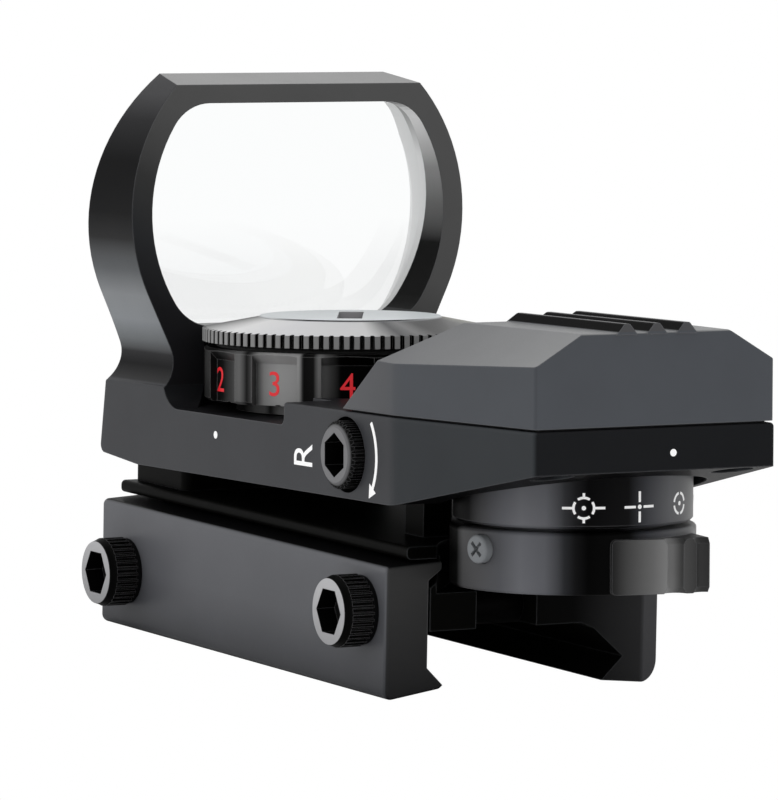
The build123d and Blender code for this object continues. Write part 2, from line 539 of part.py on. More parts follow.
def dial_spindle():
    post = upright(SPINDLE_TAIL_RADIUS, 4.8, DIAL_WELL_FLOOR_Z + 0.1, DIAL_X, DIAL_Y)
    post += upright(SPINDLE_RADIUS, DIAL_WELL_FLOOR_Z + 0.02, SPINDLE_TOP_Z, DIAL_X, DIAL_Y)
    groove = upright(3, 11.58, 12.02, DIAL_X, DIAL_Y) - upright(2.1, 11, 13, DIAL_X, DIAL_Y)
    return post - groove


def dial_retaining_ring():
    ring = upright(3.9, 11.6, 12.0, DIAL_X, DIAL_Y) - upright(2.12, 11, 13, DIAL_X, DIAL_Y)
    return ring - block(-1.5, 1.5, DIAL_Y - 8, DIAL_Y, 11, 13)


def dial_detent_ball():
    return Pos(DIAL_X, DIAL_Y - DIAL_DETENT_RADIUS, DIAL_DETENT_Z) * Sphere(DETENT_BALL_RADIUS)


def dial_detent_spring():
    top = DIAL_DETENT_Z - DETENT_BALL_RADIUS - 0.02
    return coil(0.6, 0.15, 6.65, top, 5, DIAL_X, DIAL_Y - DIAL_DETENT_RADIUS)


def switch_board():
    board = upright(9.8, SWITCH_BOARD_Z0, SWITCH_BOARD_Z1, DIAL_X, DIAL_Y)
    board -= upright(SPINDLE_RADIUS + 0.2, 8, 9, DIAL_X, DIAL_Y)
    for k in range(DIAL_POSITIONS):
        pad = Pos(6.5, 0, SWITCH_BOARD_Z1) * Cylinder(0.7, 0.2)
        board += Pos(DIAL_X, DIAL_Y, 0) * Rot(0, 0, 360 * k / DIAL_POSITIONS) * pad
    return board


def dial_wiper():
    ring = upright(8.6, 10.0, 10.25, DIAL_X, DIAL_Y) - upright(3.2, 9, 11, DIAL_X, DIAL_Y)
    for k in range(2):
        finger = block(6.1, 6.9, -1.2, 1.2, 9.0, 10.1)
        ring += Pos(DIAL_X, DIAL_Y, 0) * Rot(0, 0, 180 * k) * finger
    return ring


# ---------------------------------------------------------------- reticle selector

def lamp_place():
    """Lamp position: on the disc's reticle circle, straight ahead of the eye line."""
    return 0.0, DRUM_Y + math.sqrt(RETICLE_RADIUS ** 2 - DRUM_X ** 2)


def selector_drum():
    drum = upright(DRUM_RADIUS, DRUM_BOTTOM_Z, DRUM_TOP_Z, DRUM_X, DRUM_Y)
    drum = chamfer(drum.edges(), 0.25)
    track = upright(RETICLE_RADIUS + 0.9, DRUM_TOP_Z - 0.45, 9) - upright(RETICLE_RADIUS - 0.9, 7, 9)
    drum -= Pos(DRUM_X, DRUM_Y, 0) * track
    drum += upright(DRUM_STUB_RADIUS, -2.35, DRUM_BOTTOM_Z + 0.3, DRUM_X, DRUM_Y)
    drum -= upright(AXLE_RADIUS + 0.01, -3, 9, DRUM_X, DRUM_Y)
    return drum - lever_screw_axis() * Pos(0, 0, 6.9) * upright(0.76, 0, 6)


def lever_screw_axis():
    """Frame of the lever's fixing screw: its Z axis points outwards, to the user's left."""
    return Pos(DRUM_X, DRUM_Y, LEVER_SCREW_Z) * Rot(0, 0, 192.5) * Rot(0, 90, 0)


def selector_lever():
    cup = upright(LEVER_RADIUS, LEVER_Z0, LEVER_Z1, DRUM_X, DRUM_Y)
    cup = fillet(cup.edges(), 0.35)
    # Flat arm that leaves the cup on a tangent and points to the rear right
    face = -LEVER_RADIUS - ARM_PROUD
    arm = block(ARM_START, ARM_END, face, face + ARM_DEPTH, ARM_Z0, ARM_Z1)
    arm = fillet(arm.edges().filter_by(Axis.Z).group_by(Axis.X)[-1], 0.25)
    arm = fillet(arm.edges().filter_by(Axis.Y).group_by(Axis.X)[0], 0.45)
    for x in ARM_GROOVES:
        arm -= upright(0.8, -9, 9, x, face - 0.2)
        arm -= Pos(x, face - 0.2, ARM_Z1 - 0.1) * Cone(0.8, 1.3, 0.8)
        arm -= Pos(x, face - 0.2, ARM_Z0 + 0.1) * Cone(1.3, 0.8, 0.8)
    cup += Pos(DRUM_X, DRUM_Y, 0) * Rot(0, 0, ARM_TURN) * arm
    cup -= upright(DRUM_STUB_RADIUS + 0.02, -2.4, 5, DRUM_X, DRUM_Y)
    cup -= lever_screw_axis() * upright(0.8, 5, 15)
    return cup - lever_screw_axis() * upright(LEVER_SCREW_RADIUS + 0.05, LEVER_RADIUS - 0.9, 15)


def selector_lever_screw():
    head = upright(LEVER_SCREW_RADIUS, LEVER_RADIUS - 0.85, LEVER_RADIUS + 0.75)
    head = fillet(head.edges().group_by(Axis.Z)[-1], 0.25)
    for turn in (45, 135):
        slot = Pos(0, 0, LEVER_RADIUS + 0.75) * Rot(0, 0, turn) * Box(1.7, 0.36, 1.0)
        head -= slot
    return lever_screw_axis() * (head + upright(0.75, 7.2, LEVER_RADIUS - 0.8))


def selector_axle():
    pin = upright(AXLE_RADIUS, -2.2, 12.3, DRUM_X, DRUM_Y)
    groove = upright(3, 11.48, 11.82, DRUM_X, DRUM_Y) - upright(1.15, 11, 13, DRUM_X, DRUM_Y)
    return pin - groove


def selector_circlip():
    ring = upright(2.7, 11.5, 11.8, DRUM_X, DRUM_Y) - upright(1.17, 11, 13, DRUM_X, DRUM_Y)
    return ring - block(DRUM_X - 0.9, DRUM_X + 0.9, DRUM_Y - 4, DRUM_Y, 11, 13)


def reticle_disc():
    """Thin disc with one small window for each reticle."""
    disc = upright(DISC_RADIUS, DISC_Z0, DISC_Z1, DRUM_X, DRUM_Y)
    disc -= upright(AXLE_RADIUS + 0.01, 10, 13, DRUM_X, DRUM_Y)
    lamp_x, lamp_y = lamp_place()
    at_lamp = math.degrees(math.atan2(lamp_y - DRUM_Y, lamp_x - DRUM_X))
    for k in range(RETICLES):
        angle = at_lamp + RETICLE_STEP * (k - 1)
        disc -= Pos(DRUM_X, DRUM_Y, 0) * Rot(0, 0, angle) * upright(0.9, 10, 12, RETICLE_RADIUS, 0)
    return disc


def selector_detent_ball():
    return Pos(DRUM_X, DRUM_Y - RETICLE_RADIUS, 8.08) * Sphere(DETENT_BALL_RADIUS)


def selector_detent_spring():
    return coil(0.6, 0.12, 8.9, 10.08, 3, DRUM_X, DRUM_Y - RETICLE_RADIUS)


# ---------------------------------------------------------------- emitter

def cover_plane(a, b, c):
    """Plane through three points, used to slice the cover."""
    a, b, c = Vector(*a), Vector(*b), Vector(*c)
    return Plane(origin=a, z_dir=(b - a).cross(c - a))


def cover_solid(inset=0.0):
    """Outside of the emitter cover, or its cavity when an inset is given."""
    outline = body_outline(inset + COVER_SIDE_STEP, 0.0)
    prism = along_z(outline, COVER_BOTTOM_Z - (1 if inset else 0), COVER_TOP_Z - inset)
    if not inset:
        bend = prism.edges().filter_by(Axis.Z).group_by(Axis.Y)[1]
        prism = fillet(bend, 6.0)
        prism = fillet(prism.edges().filter_by(Axis.Z).group_by(Axis.Y)[0], 0.4)
    slope = cover_plane((0, COVER_FRONT_Y - inset * 1.4, COVER_BOTTOM_Z),
                        (0, COVER_SHOULDER_FRONT[1] - inset * 1.4, COVER_SHOULDER_FRONT[2]),
                        (1, COVER_FRONT_Y - inset * 1.4, COVER_BOTTOM_Z))
    prism = sliced(prism, slope)
    left = [COVER_SHOULDER_FRONT, COVER_SHOULDER_REAR, COVER_TOP_REAR]
    for side in (1, -1):
        points = [(side * x, y, z - inset * 1.2) for x, y, z in left]
        prism = sliced(prism, cover_plane(*points))
    return prism


def sliced(shape, plane):
    """Keep the part of a shape on the side of the plane that holds the cover's middle."""
    middle = Vector(0, -40, COVER_BOTTOM_Z + 1)
    above = plane.z_dir.dot(middle - plane.origin) > 0
    return split(shape, bisect_by=plane, keep=Keep.TOP if above else Keep.BOTTOM)


def cover_ridge(x):
    """Rounded triangular grip rib along the top of the cover."""
    rib = make_face(Polyline((x - 1.1, COVER_TOP_Z - 0.2), (x - 0.28, COVER_TOP_Z + RIDGE_HEIGHT),
                             (x + 0.28, COVER_TOP_Z + RIDGE_HEIGHT), (x + 1.1, COVER_TOP_Z - 0.2),
                             close=True))
    rib = fillet(rib.vertices().group_by(Axis.Y)[-1], 0.28)
    return along_y(rib, COVER_REAR_Y + 0.25, COVER_REAR_Y + RIDGE_LENGTH)


def emitter_cover():
    cover = cover_solid()
    cover = fillet(cover.edges().group_by(Axis.Z)[-1], 0.3)
    for k in (-1, 0, 1):
        rib = cover_ridge(k * RIDGE_PITCH)
        ramp = cover_plane((0, COVER_REAR_Y + RIDGE_LENGTH, COVER_TOP_Z - 0.3),
                           (1, COVER_REAR_Y + RIDGE_LENGTH, COVER_TOP_Z - 0.3),
                           (0, COVER_REAR_Y + RIDGE_LENGTH - 1.1, COVER_TOP_Z + RIDGE_HEIGHT))
        cover += sliced(rib, ramp)
    cavity = cover_solid(COVER_WALL)
    for x, y in COVER_SCREW_PLACES:
        cavity -= upright(2.6, 11, 14 if y > -40 else 17, x, y)
    cover -= cavity
    cover -= block(-3.6, 3.6, -30, -18, 12.6, 14.9)
    cover -= block(-WINDOW_HALF_WIDTH - 0.1, WINDOW_HALF_WIDTH + 0.1, WINDOW_Y0 - 0.05, WINDOW_Y1 + 0.05,
                   WINDOW_Z0 - 0.05, WINDOW_Z1 + 0.05)
    for x, y in COVER_SCREW_PLACES:
        cover -= upright(COVER_SCREW_SHANK + 0.01, 10, COVER_SCREW_TIP_Z + 0.2, x, y)
    return cover


def cover_seal():
    """Thin gasket between the tray and the cover."""
    gasket = along_z(body_outline(0.7, COVER_FRONT_Y - 0.6), BODY_TOP_Z + 0.01, COVER_BOTTOM_Z - 0.01)
    gasket -= along_z(body_outline(2.2, COVER_FRONT_Y - 1.9), 10, 12)
    for x, y in COVER_SCREW_PLACES:
        gasket -= upright(1.3, 10, 12, x, y)
    return gasket


def cover_screw_seat(y):
    """Height of the counterbore floor: the tail's underside is higher."""
    return 5.6 if y > -40 else 9.0


def cover_screws():
    screws = []
    for x, y in COVER_SCREW_PLACES:
        seat = cover_screw_seat(y)
        head_z = seat - COVER_SCREW_HEAD_HEIGHT
        screw = upright(COVER_SCREW_HEAD, head_z, seat, x, y)
        screw += upright(COVER_SCREW_SHANK, seat - 0.1, COVER_SCREW_TIP_Z, x, y)
        for turn in (0, 90):
            screw -= Pos(x, y, head_z) * Rot(0, 0, turn) * Box(2.2, 0.45, 1.2)
        screws.append(placed(screw).solid())
    return Compound(screws)


def emitter_window():
    return block(-WINDOW_HALF_WIDTH, WINDOW_HALF_WIDTH, WINDOW_Y0, WINDOW_Y1, WINDOW_Z0, WINDOW_Z1)


def emitter_mirror():
    """Flat mirror at 45 degrees that turns the lamp's light forwards."""
    plate = fillet(Box(4.4, 3.8, 0.5).edges().filter_by(Axis.Z), 0.3)
    return Pos(0, lamp_place()[1] - 0.25, 13.35) * Rot(45, 0, 0) * plate


def mirror_holder():
    """Wedge that hangs from the cover's roof, behind the mirror."""
    lamp_y = lamp_place()[1]
    wedge = [(lamp_y - 4.5, 18.1), (lamp_y - 3.1, 18.1), (lamp_y + 0.7, 15.3), (lamp_y + 0.7, 14.8),
             (lamp_y - 2.5, 11.6), (lamp_y - 4.5, 13.6)]
    return along_x(wedge, -2.6, 2.6)


def led_board():
    lamp_x, lamp_y = lamp_place()
    return block(lamp_x - 2.4, lamp_x + 2.4, lamp_y - 1.9, lamp_y + 1.9, LAMP_BOARD_Z0, LAMP_BOARD_Z1)


def led():
    lamp_x, lamp_y = lamp_place()
    top = LAMP_BOARD_Z1 + 0.45
    chip = block(lamp_x - 1.0, lamp_x + 1.0, lamp_y - 0.62, lamp_y + 0.62, LAMP_BOARD_Z1 + 0.01, top)
    return chip + Pos(lamp_x, lamp_y, top) * (Sphere(0.5) & block(-1, 1, -1, 1, 0, 1))


def lead_wires():
    """Two insulated leads from the switch board to the lamp."""
    wires = []
    for x, high in ((WIRE_X - 0.3, 9.95), (WIRE_X + 0.3, 10.6)):
        path = FilletPolyline((x, -1.3, WIRE_Z), (x, -26.0, WIRE_Z), (x, -26.35, high), (2.9, -26.35, high),
                              radius=0.15)
        start = Plane(origin=path @ 0, z_dir=path % 0)
        wires.append(placed(sweep(start * Circle(LEAD_RADIUS), path)).solid())
    return Compound(wires)


# ---------------------------------------------------------------- adjusters

def windage_screw():
    """Knurled socket screw on the left side, threaded into the body."""
    length = WINDAGE_HEAD_LENGTH
    head = knurled(WINDAGE_HEAD_RADIUS, 0.25, 30, length)
    cone = spun([(0, -1), (4, -1), (4, length - 1.1), (2.55, length), (0, length)])
    head = (head & cone) + upright(2.55, 0, length)
    head -= Pos(0, 0, length) * hex_socket(3.6, 2.4)
    screw = head + upright(ADJUSTER_SHANK, -WINDAGE_SHANK_LENGTH, 0.1)
    return Pos(WINDAGE_SEAT_X, WINDAGE_Y, WINDAGE_Z) * Rot(0, -90, 0) * Rot(0, 0, 90) * screw


def elevation_screw():
    """Knurled socket screw on the right ledge, standing on the base flange."""
    head = knurled(2.6, 0.22, 26, ELEVATION_HEAD_HEIGHT)
    head -= Pos(0, 0, ELEVATION_HEAD_HEIGHT) * hex_socket(2.5, 1.3)
    screw = head + upright(ADJUSTER_SHANK, -ELEVATION_SHANK_LENGTH, 0.1)
    return Pos(ELEVATION_X, ELEVATION_Y, ELEVATION_SEAT_Z) * screw


def windage_spring():
    """Pushes the body against the windage screw, on the far side of the post."""
    spring = coil(1.3, 0.25, 0, SPRING_SQUEEZED, 5)
    return placed(Pos(SPRING_X, WINDAGE_Y, WINDAGE_Z) * Rot(0, 90, 0) * spring)


def retaining_screw():
    """Holds the tail down on the elevation screw; threads into the base."""
    head = upright(2.6, RETAINER_HEAD_Z0, RETAINER_HEAD_Z1, RETAINER_X, RETAINER_Y)
    head -= Pos(RETAINER_X, RETAINER_Y, RETAINER_HEAD_Z1) * Box(4.2, 0.6, 0.9)
    return head + upright(ADJUSTER_SHANK, 1.2, RETAINER_HEAD_Z0 + 0.1, RETAINER_X, RETAINER_Y)


def elevation_spring():
    return coil(2.3, 0.3, RETAINER_SPRING_Z, RETAINER_HEAD_Z0, 3, RETAINER_X, RETAINER_Y)


ON_BASE = {
    "mount_base": mount_base,
    "clamp_plate": clamp_plate,
    "clamp_washers": clamp_washers,
    "pivot_block": pivot_block,
    "windage_pivot_pin": windage_pivot_pin,
    "elevation_hinge_pin": elevation_hinge_pin,
    "retaining_screw": retaining_screw,
    "elevation_spring": elevation_spring,
    "windage_spring": windage_spring,
    "cover_screws": cover_screws,
    "lead_wires": lead_wires,
}
ON_BODY = {
    "main_body": main_body,
    "lens": lens,
    "lens_seal": lens_seal,
    "brightness_dial": brightness_dial,
    "battery_cap": battery_cap,
    "battery_cap_seal": battery_cap_seal,
    "battery": battery,
    "battery_contact": battery_contact,
    "dial_spindle": dial_spindle,
    "dial_retaining_ring": dial_retaining_ring,
    "dial_detent_ball": dial_detent_ball,
    "dial_detent_spring": dial_detent_spring,
    "switch_board": switch_board,
    "dial_wiper": dial_wiper,
    "selector_drum": selector_drum,
    "selector_lever": selector_lever,
    "selector_lever_screw": selector_lever_screw,
    "selector_axle": selector_axle,
    "selector_circlip": selector_circlip,
    "reticle_disc": reticle_disc,
    "selector_detent_ball": selector_detent_ball,
    "selector_detent_spring": selector_detent_spring,
    "emitter_cover": emitter_cover,
    "cover_seal": cover_seal,
    "emitter_window": emitter_window,
    "emitter_mirror": emitter_mirror,
    "mirror_holder": mirror_holder,
    "led_board": led_board,
    "led": led,
    "windage_screw": windage_screw,
    "elevation_screw": elevation_screw,
}

os.makedirs("parts", exist_ok=True)
for name, make in ON_BASE.items():
    export_step(make(), f"parts/{name}.step")
export_step(clamp_screw(*CLAMP_SCREW_PLACES[0]), "parts/clamp_screw_front.step")
export_step(clamp_screw(*CLAMP_SCREW_PLACES[1]), "parts/clamp_screw_rear.step")
for name, make in ON_BODY.items():
    export_step(placed(make()), f"parts/{name}.step")
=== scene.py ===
import json
import math

import bmesh
import bpy
from mathutils import Matrix, Vector


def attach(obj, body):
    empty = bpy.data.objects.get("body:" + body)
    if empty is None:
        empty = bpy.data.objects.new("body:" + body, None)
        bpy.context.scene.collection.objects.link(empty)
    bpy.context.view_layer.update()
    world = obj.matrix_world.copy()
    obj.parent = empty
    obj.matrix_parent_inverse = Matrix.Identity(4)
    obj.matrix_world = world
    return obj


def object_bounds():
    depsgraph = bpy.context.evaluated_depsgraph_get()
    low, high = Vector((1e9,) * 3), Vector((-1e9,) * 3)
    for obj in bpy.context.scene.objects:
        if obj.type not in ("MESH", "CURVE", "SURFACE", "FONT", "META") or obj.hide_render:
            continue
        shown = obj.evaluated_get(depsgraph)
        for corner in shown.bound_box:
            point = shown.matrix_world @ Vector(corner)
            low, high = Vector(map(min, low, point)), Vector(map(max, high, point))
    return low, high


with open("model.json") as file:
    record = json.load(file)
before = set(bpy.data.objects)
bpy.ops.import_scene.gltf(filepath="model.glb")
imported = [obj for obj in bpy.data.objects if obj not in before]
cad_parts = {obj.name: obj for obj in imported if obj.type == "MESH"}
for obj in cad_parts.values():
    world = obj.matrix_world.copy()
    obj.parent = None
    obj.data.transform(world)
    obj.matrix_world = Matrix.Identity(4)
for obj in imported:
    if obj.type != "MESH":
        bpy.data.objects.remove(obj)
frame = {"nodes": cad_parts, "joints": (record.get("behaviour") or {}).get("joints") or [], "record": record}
cad_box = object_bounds()

MM = 0.001

# The optic body's own level frame: its origin on the base, and its tilt from the dial's axis
JOINTS = {joint["name"]: joint for joint in frame["joints"]}
BODY_ORIGIN = Vector((0, 28.0, 6.9)) * MM
BODY_UP = Vector(JOINTS["brightness_turn"]["axis"]).normalized()
BODY_SIDE = Vector((1, 0, 0))
BODY_AHEAD = BODY_UP.cross(BODY_SIDE)
BODY_FOOT = BODY_ORIGIN - BODY_AHEAD * BODY_ORIGIN.y
LEFT, BACK, TOP, UNDER = [Vector(v) for v in ((-1, 0, 0), (0, -1, 0), (0, 0, 1), (0, 0, -1))]

# Sizes of the CAD parts that carry marks or where the painted light and shade change, in millimetres
SIDE_X = -15.05
REAR_Y = -51.1
BODY_TOP_Z = 11.3
BODY_BEND_Y = -30.0
HOOD_CENTRE_Z = 27.9
LENS_REAR_Y, LENS_THICKNESS = 18.9, 2.0
LENS_LEAN = math.tan(math.radians(9.0))
COVER_TOP_Z = 19.8
CAP_RADIUS, CAP_FLAT_RADIUS, CAP_TOP_Z = 14.3, 8.8, 18.3
DIAL_CENTRE = (0.0, 5.0)
DIAL_FACET = 13.2
DIAL_NUMBER_Z = 12.4
DIAL_POSITIONS = 12
DIGIT_AT_INDEX = 2
DRUM_CENTRE = (1.2, -34.8)
DRUM_RADIUS = 10.95
LEVER_TOP_Z = 1.5
ARM_INNER_RADIUS = 11.28
RETICLE_STEP = math.radians(28.0)
JAW_BEVEL_X = 12.5
# Where the outer faces of the screw heads begin, as distances to the left
CLAMP_FACE = (17.8, 18.0)
WINDAGE_FACE = (16.1, 16.25)

# Sizes and places of the printed marks, in millimetres; places on the body are along it, then up
INK = 0.03
STROKE = 0.23
ICON_RADIUS = 0.93
ICON_DOT_RADIUS = 0.2
SIGN_HEIGHT = 3.75
NUMBER_HEIGHT, NUMBER_SQUEEZE = 2.35, 0.92
# Two numbers are printed a little ahead of their facets' middles
DIGIT_SHIFTS = {2: 1.8, 3: 0.45}
SIDE_DOT, SIDE_DOT_RADIUS = (4.3, 7.3), 0.36
REAR_DOT, REAR_DOT_RADIUS = (1.75, 9.0), 0.33
LETTER, LETTER_HEIGHT, LETTER_SQUEEZE = (-13.2, 6.7), 3.5, 0.77
ARROW, ARROW_RADIUS = (-21.5, 7.3), 5.65
ARROW_START, ARROW_ROOT, ARROW_TIP = 35, -29, -41
ARROW_STROKE, ARROW_HEAD = 0.4, 0.7


# ---------------------------------------------------------------- places

def body_matrix(x, y, z, right, up):
    """Placement of a flat mark on the optic body: mark X runs right, mark Y runs up."""
    def turned(v):
        return BODY_SIDE * v[0] + BODY_AHEAD * v[1] + BODY_UP * v[2]
    spot = BODY_ORIGIN + turned(Vector((x, y, z)) * MM - Vector((0, BODY_ORIGIN.y, 0)))
    right, up = turned(Vector(right).normalized()), turned(Vector(up).normalized())
    out = right.cross(up)
    return Matrix.Translation(spot) @ Matrix((right, up, out)).transposed().to_4x4()


# ---------------------------------------------------------------- node materials

def linear(colour):
    """Scene-linear colour from a hex string."""
    parts = [int(colour[i:i + 2], 16) / 255 for i in (1, 3, 5)]
    return (*[((c + 0.055) / 1.055) ** 2.4 if c > 0.04045 else c / 12.92 for c in parts], 1)


class Nodes:
    """Small helper that adds and links shader nodes."""

    def __init__(self, name):
        self.material = bpy.data.materials.new(name)
        self.material.use_nodes = True
        self.tree = self.material.node_tree
        self.tree.nodes.clear()
        self.out = self.tree.nodes.new("ShaderNodeOutputMaterial")

    def add(self, kind, inputs=None, **settings):
        node = self.tree.nodes.new(kind)
        for key, value in settings.items():
            setattr(node, key, value)
        for key, value in (inputs or {}).items():
            if isinstance(value, bpy.types.NodeSocket):
                self.tree.links.new(value, node.inputs[key])
            else:
                node.inputs[key].default_value = value
        return node

    def finish(self, shader):
        self.tree.links.new(shader.outputs[0], self.out.inputs["Surface"])
        return self.material

    def maths(self, operation, *values):
        return self.add("ShaderNodeMath", dict(enumerate(values)), operation=operation).outputs[0]

    def measure(self, axis, origin=Vector((0, 0, 0))):
        """Distance in millimetres along an axis, from an origin in metres."""
        place = self.add("ShaderNodeTexCoord").outputs["Object"]
        dot = self.add("ShaderNodeVectorMath", {0: place, 1: axis}, operation="DOT_PRODUCT").outputs["Value"]
        return self.maths("MULTIPLY", self.maths("SUBTRACT", dot, axis.dot(origin)), 1 / MM)

    def bearing(self, x, y):
        """Angle in degrees about an upright body axis, from straight back towards the left."""
        across = self.maths("SUBTRACT", x, self.measure(BODY_SIDE))
        back = self.maths("SUBTRACT", y, self.measure(BODY_AHEAD, BODY_FOOT))
        return self.maths("DEGREES", self.maths("ARCTAN2", across, back))

    def reach(self, x, y):
        """Distance in millimetres from an upright body axis."""
        across = self.maths("SUBTRACT", x, self.measure(BODY_SIDE))
        back = self.maths("SUBTRACT", y, self.measure(BODY_AHEAD, BODY_FOOT))
        return self.maths("SQRT", self.maths("ADD", self.maths("MULTIPLY", across, across),
                                             self.maths("MULTIPLY", back, back)))

    def step(self, value, low, high):
        """0 below low, 1 above high."""
        return self.add("ShaderNodeMapRange", {"Value": value, "From Min": low, "From Max": high}).outputs[0]

    def facing(self, direction, low, high):
        """1 where the surface faces a direction."""
        normal = self.add("ShaderNodeNewGeometry").outputs["True Normal"]
        dot = self.add("ShaderNodeVectorMath", {0: normal, 1: direction}, operation="DOT_PRODUCT")
        return self.step(dot.outputs["Value"], low, high)

    def ramp(self, value, stops):
        """Colour that runs through (value, colour) stops."""
        first, last = stops[0][0], stops[-1][0]
        node = self.add("ShaderNodeValToRGB", {0: self.step(value, first, last)})
        points = node.color_ramp.elements
        for _ in stops[2:]:
            points.new(0.5)
        for point, (at, colour) in zip(points, stops):
            point.position = (at - first) / (last - first)
            point.color = linear(colour)
        return node.outputs[0]

    def blend(self, share, low, high):
        """Mix of two colours, each a socket or a hex string."""
        low, high = [linear(c) if isinstance(c, str) else c for c in (low, high)]
        return self.add("ShaderNodeMix", {0: share, 6: low, 7: high}, data_type="RGBA").outputs[2]


def edge_mask(n, radius):
    """1 on sharp edges, 0 on flats: where the rounded normal leaves the true one."""
    bevel = n.add("ShaderNodeBevel", {"Radius": radius}, samples=4)
    true = n.add("ShaderNodeNewGeometry")
    dot = n.add("ShaderNodeVectorMath", {0: bevel.outputs[0], 1: true.outputs["Normal"]},
                operation="DOT_PRODUCT")
    return n.add("ShaderNodeMapRange", {"Value": dot.outputs["Value"], "From Min": 0.98, "From Max": 0.80,
                                        "To Min": 0.0, "To Max": 1.0}).outputs[0]


def metal_finish(name, tone, edge="#6a6b6e", roughness=0.4, edge_wear_and_highlight=0.6, bevel=0.2, shine=0.14, grain=0.12):
    """Bead-blasted and anodised metal: fine grain, soft blotches, and edges lightened partly by wear and
    partly as a painted highlight.
    """
    n = Nodes(name)
    place = n.add("ShaderNodeTexCoord").outputs["Object"]
    fine = n.add("ShaderNodeTexNoise", {"Vector": place, "Scale": 9000.0, "Detail": 3.0, "Roughness": 0.6})
    broad = n.add("ShaderNodeTexNoise", {"Vector": place, "Scale": 90.0, "Detail": 4.0, "Roughness": 0.55})
    shade = n.add("ShaderNodeMapRange", {"Value": broad.outputs[0], "From Min": 0.3, "From Max": 0.7,
                                         "To Min": 0.94, "To Max": 1.06})
    # A tone function paints light and shade into the colour; a plain hex tone is the metal's own colour
    colour = linear(tone)[:3] if isinstance(tone, str) else tone(n)
    base = n.add("ShaderNodeVectorMath", {0: colour, "Scale": shade.outputs[0]}, operation="SCALE")
    # Lighter edges: partly wear, partly a painted highlight along the edges
    worn_and_highlit_edges = n.maths("MULTIPLY", edge_mask(n, bevel * MM), edge_wear_and_highlight)
    base = n.blend(worn_and_highlit_edges, base.outputs[0], edge)
    rough = n.add("ShaderNodeMapRange", {"Value": fine.outputs[0], "From Min": 0.3, "From Max": 0.7,
                                         "To Min": roughness - 0.05, "To Max": roughness + 0.05})
    soft = n.add("ShaderNodeBevel", {"Radius": bevel * MM}, samples=4)
    bump = n.add("ShaderNodeBump", {"Strength": grain, "Distance": 0.00002, "Height": fine.outputs[0],
                                    "Normal": soft.outputs[0]})
    # Where the painted shade is darkest, the surface keeps hardly any shine
    level = n.add("ShaderNodeRGBToBW", {"Color": base}).outputs[0]
    gloss = n.add("ShaderNodeMapRange", {"Value": level, "From Min": 0.004, "From Max": 0.05,
                                         "To Min": 0.02, "To Max": shine}).outputs[0]
    shader = n.add("ShaderNodeBsdfPrincipled", {"Base Color": base, "Roughness": rough.outputs[0],
                                                "Normal": bump.outputs[0], "Specular IOR Level": gloss})
    return n.finish(shader)


def brushed_finish(name, colour, roughness, stretch):
    """Turned or drawn metal: streaks along the part."""
    n = Nodes(name)
    place = n.add("ShaderNodeTexCoord").outputs["Object"]
    scaled = n.add("ShaderNodeMapping", {"Vector": place, "Scale": stretch})
    streak = n.add("ShaderNodeTexNoise", {"Vector": scaled.outputs[0], "Scale": 2500.0, "Detail": 3.0})
    shade = n.add("ShaderNodeMapRange", {"Value": streak.outputs[0], "To Min": 0.8, "To Max": 1.15})
    tone = n.add("ShaderNodeVectorMath", {0: colour, "Scale": shade.outputs[0]}, operation="SCALE")
    rough = n.add("ShaderNodeMapRange", {"Value": streak.outputs[0], "To Min": roughness - 0.08,
                                         "To Max": roughness + 0.08})
    soft = n.add("ShaderNodeBevel", {"Radius": 0.12 * MM}, samples=4)
    bump = n.add("ShaderNodeBump", {"Strength": 0.1, "Distance": 0.00002, "Height": streak.outputs[0],
                                    "Normal": soft.outputs[0]})
    return n.finish(n.add("ShaderNodeBsdfPrincipled", {"Base Color": tone.outputs[0], "Metallic": 1.0,
                                                       "Roughness": rough.outputs[0],
                                                       "Normal": bump.outputs[0]}))


def coated_glass(name, mirror_share, tint):
    """Clear plate with a part-reflecting coat: light passes straight through the rest."""
    n = Nodes(name)
    place = n.add("ShaderNodeTexCoord").outputs["Object"]
    haze = n.add("ShaderNodeTexNoise", {"Vector": place, "Scale": 60.0, "Detail": 2.0})
    share = n.add("ShaderNodeMapRange", {"Value": haze.outputs[0], "To Min": mirror_share * 0.9,
                                         "To Max": mirror_share * 1.1}).outputs[0]
    share = n.maths("MULTIPLY", share, n.step(n.measure(BODY_UP, BODY_FOOT), 27.0, 22.0))
    clear = n.add("ShaderNodeBsdfTransparent", {"Color": (*tint, 1)})
    shine = n.add("ShaderNodeBsdfGlossy", {"Color": (1, 1, 1, 1), "Roughness": 0.015})
    plate = n.add("ShaderNodeMixShader", {0: share, 1: clear.outputs[0], 2: shine.outputs[0]})
    # The ground rim is opaque, with painted light that is brightest at mid height
    face = n.maths("MAXIMUM", n.facing(BACK, 0.6, 0.7), n.facing(-BACK, 0.6, 0.7))
    ground = n.ramp(n.measure(BODY_UP, BODY_FOOT), [(17, "#d0d0d0"), (33, "#f4f4f4"), (37, "#c0c0c0")])
    rim = n.add("ShaderNodeBsdfDiffuse", {"Color": ground})
    return n.finish(n.add("ShaderNodeMixShader", {0: face, 1: rim.outputs[0], 2: plate.outputs[0]}))


def moulded(name, colour, roughness, grain=0.2):
    """Moulded plastic, rubber or lacquer with a fine orange-peel skin."""
    n = Nodes(name)
    place = n.add("ShaderNodeTexCoord").outputs["Object"]
    skin = n.add("ShaderNodeTexNoise", {"Vector": place, "Scale": 4000.0, "Detail": 2.0})
    shade = n.add("ShaderNodeMapRange", {"Value": skin.outputs[0], "To Min": 0.9, "To Max": 1.1})
    tone = n.add("ShaderNodeVectorMath", {0: colour, "Scale": shade.outputs[0]}, operation="SCALE")
    bump = n.add("ShaderNodeBump", {"Strength": grain, "Distance": 0.00002, "Height": skin.outputs[0]})
    return n.finish(n.add("ShaderNodeBsdfPrincipled", {"Base Color": tone.outputs[0],
                                                       "Roughness": roughness, "Normal": bump.outputs[0]}))


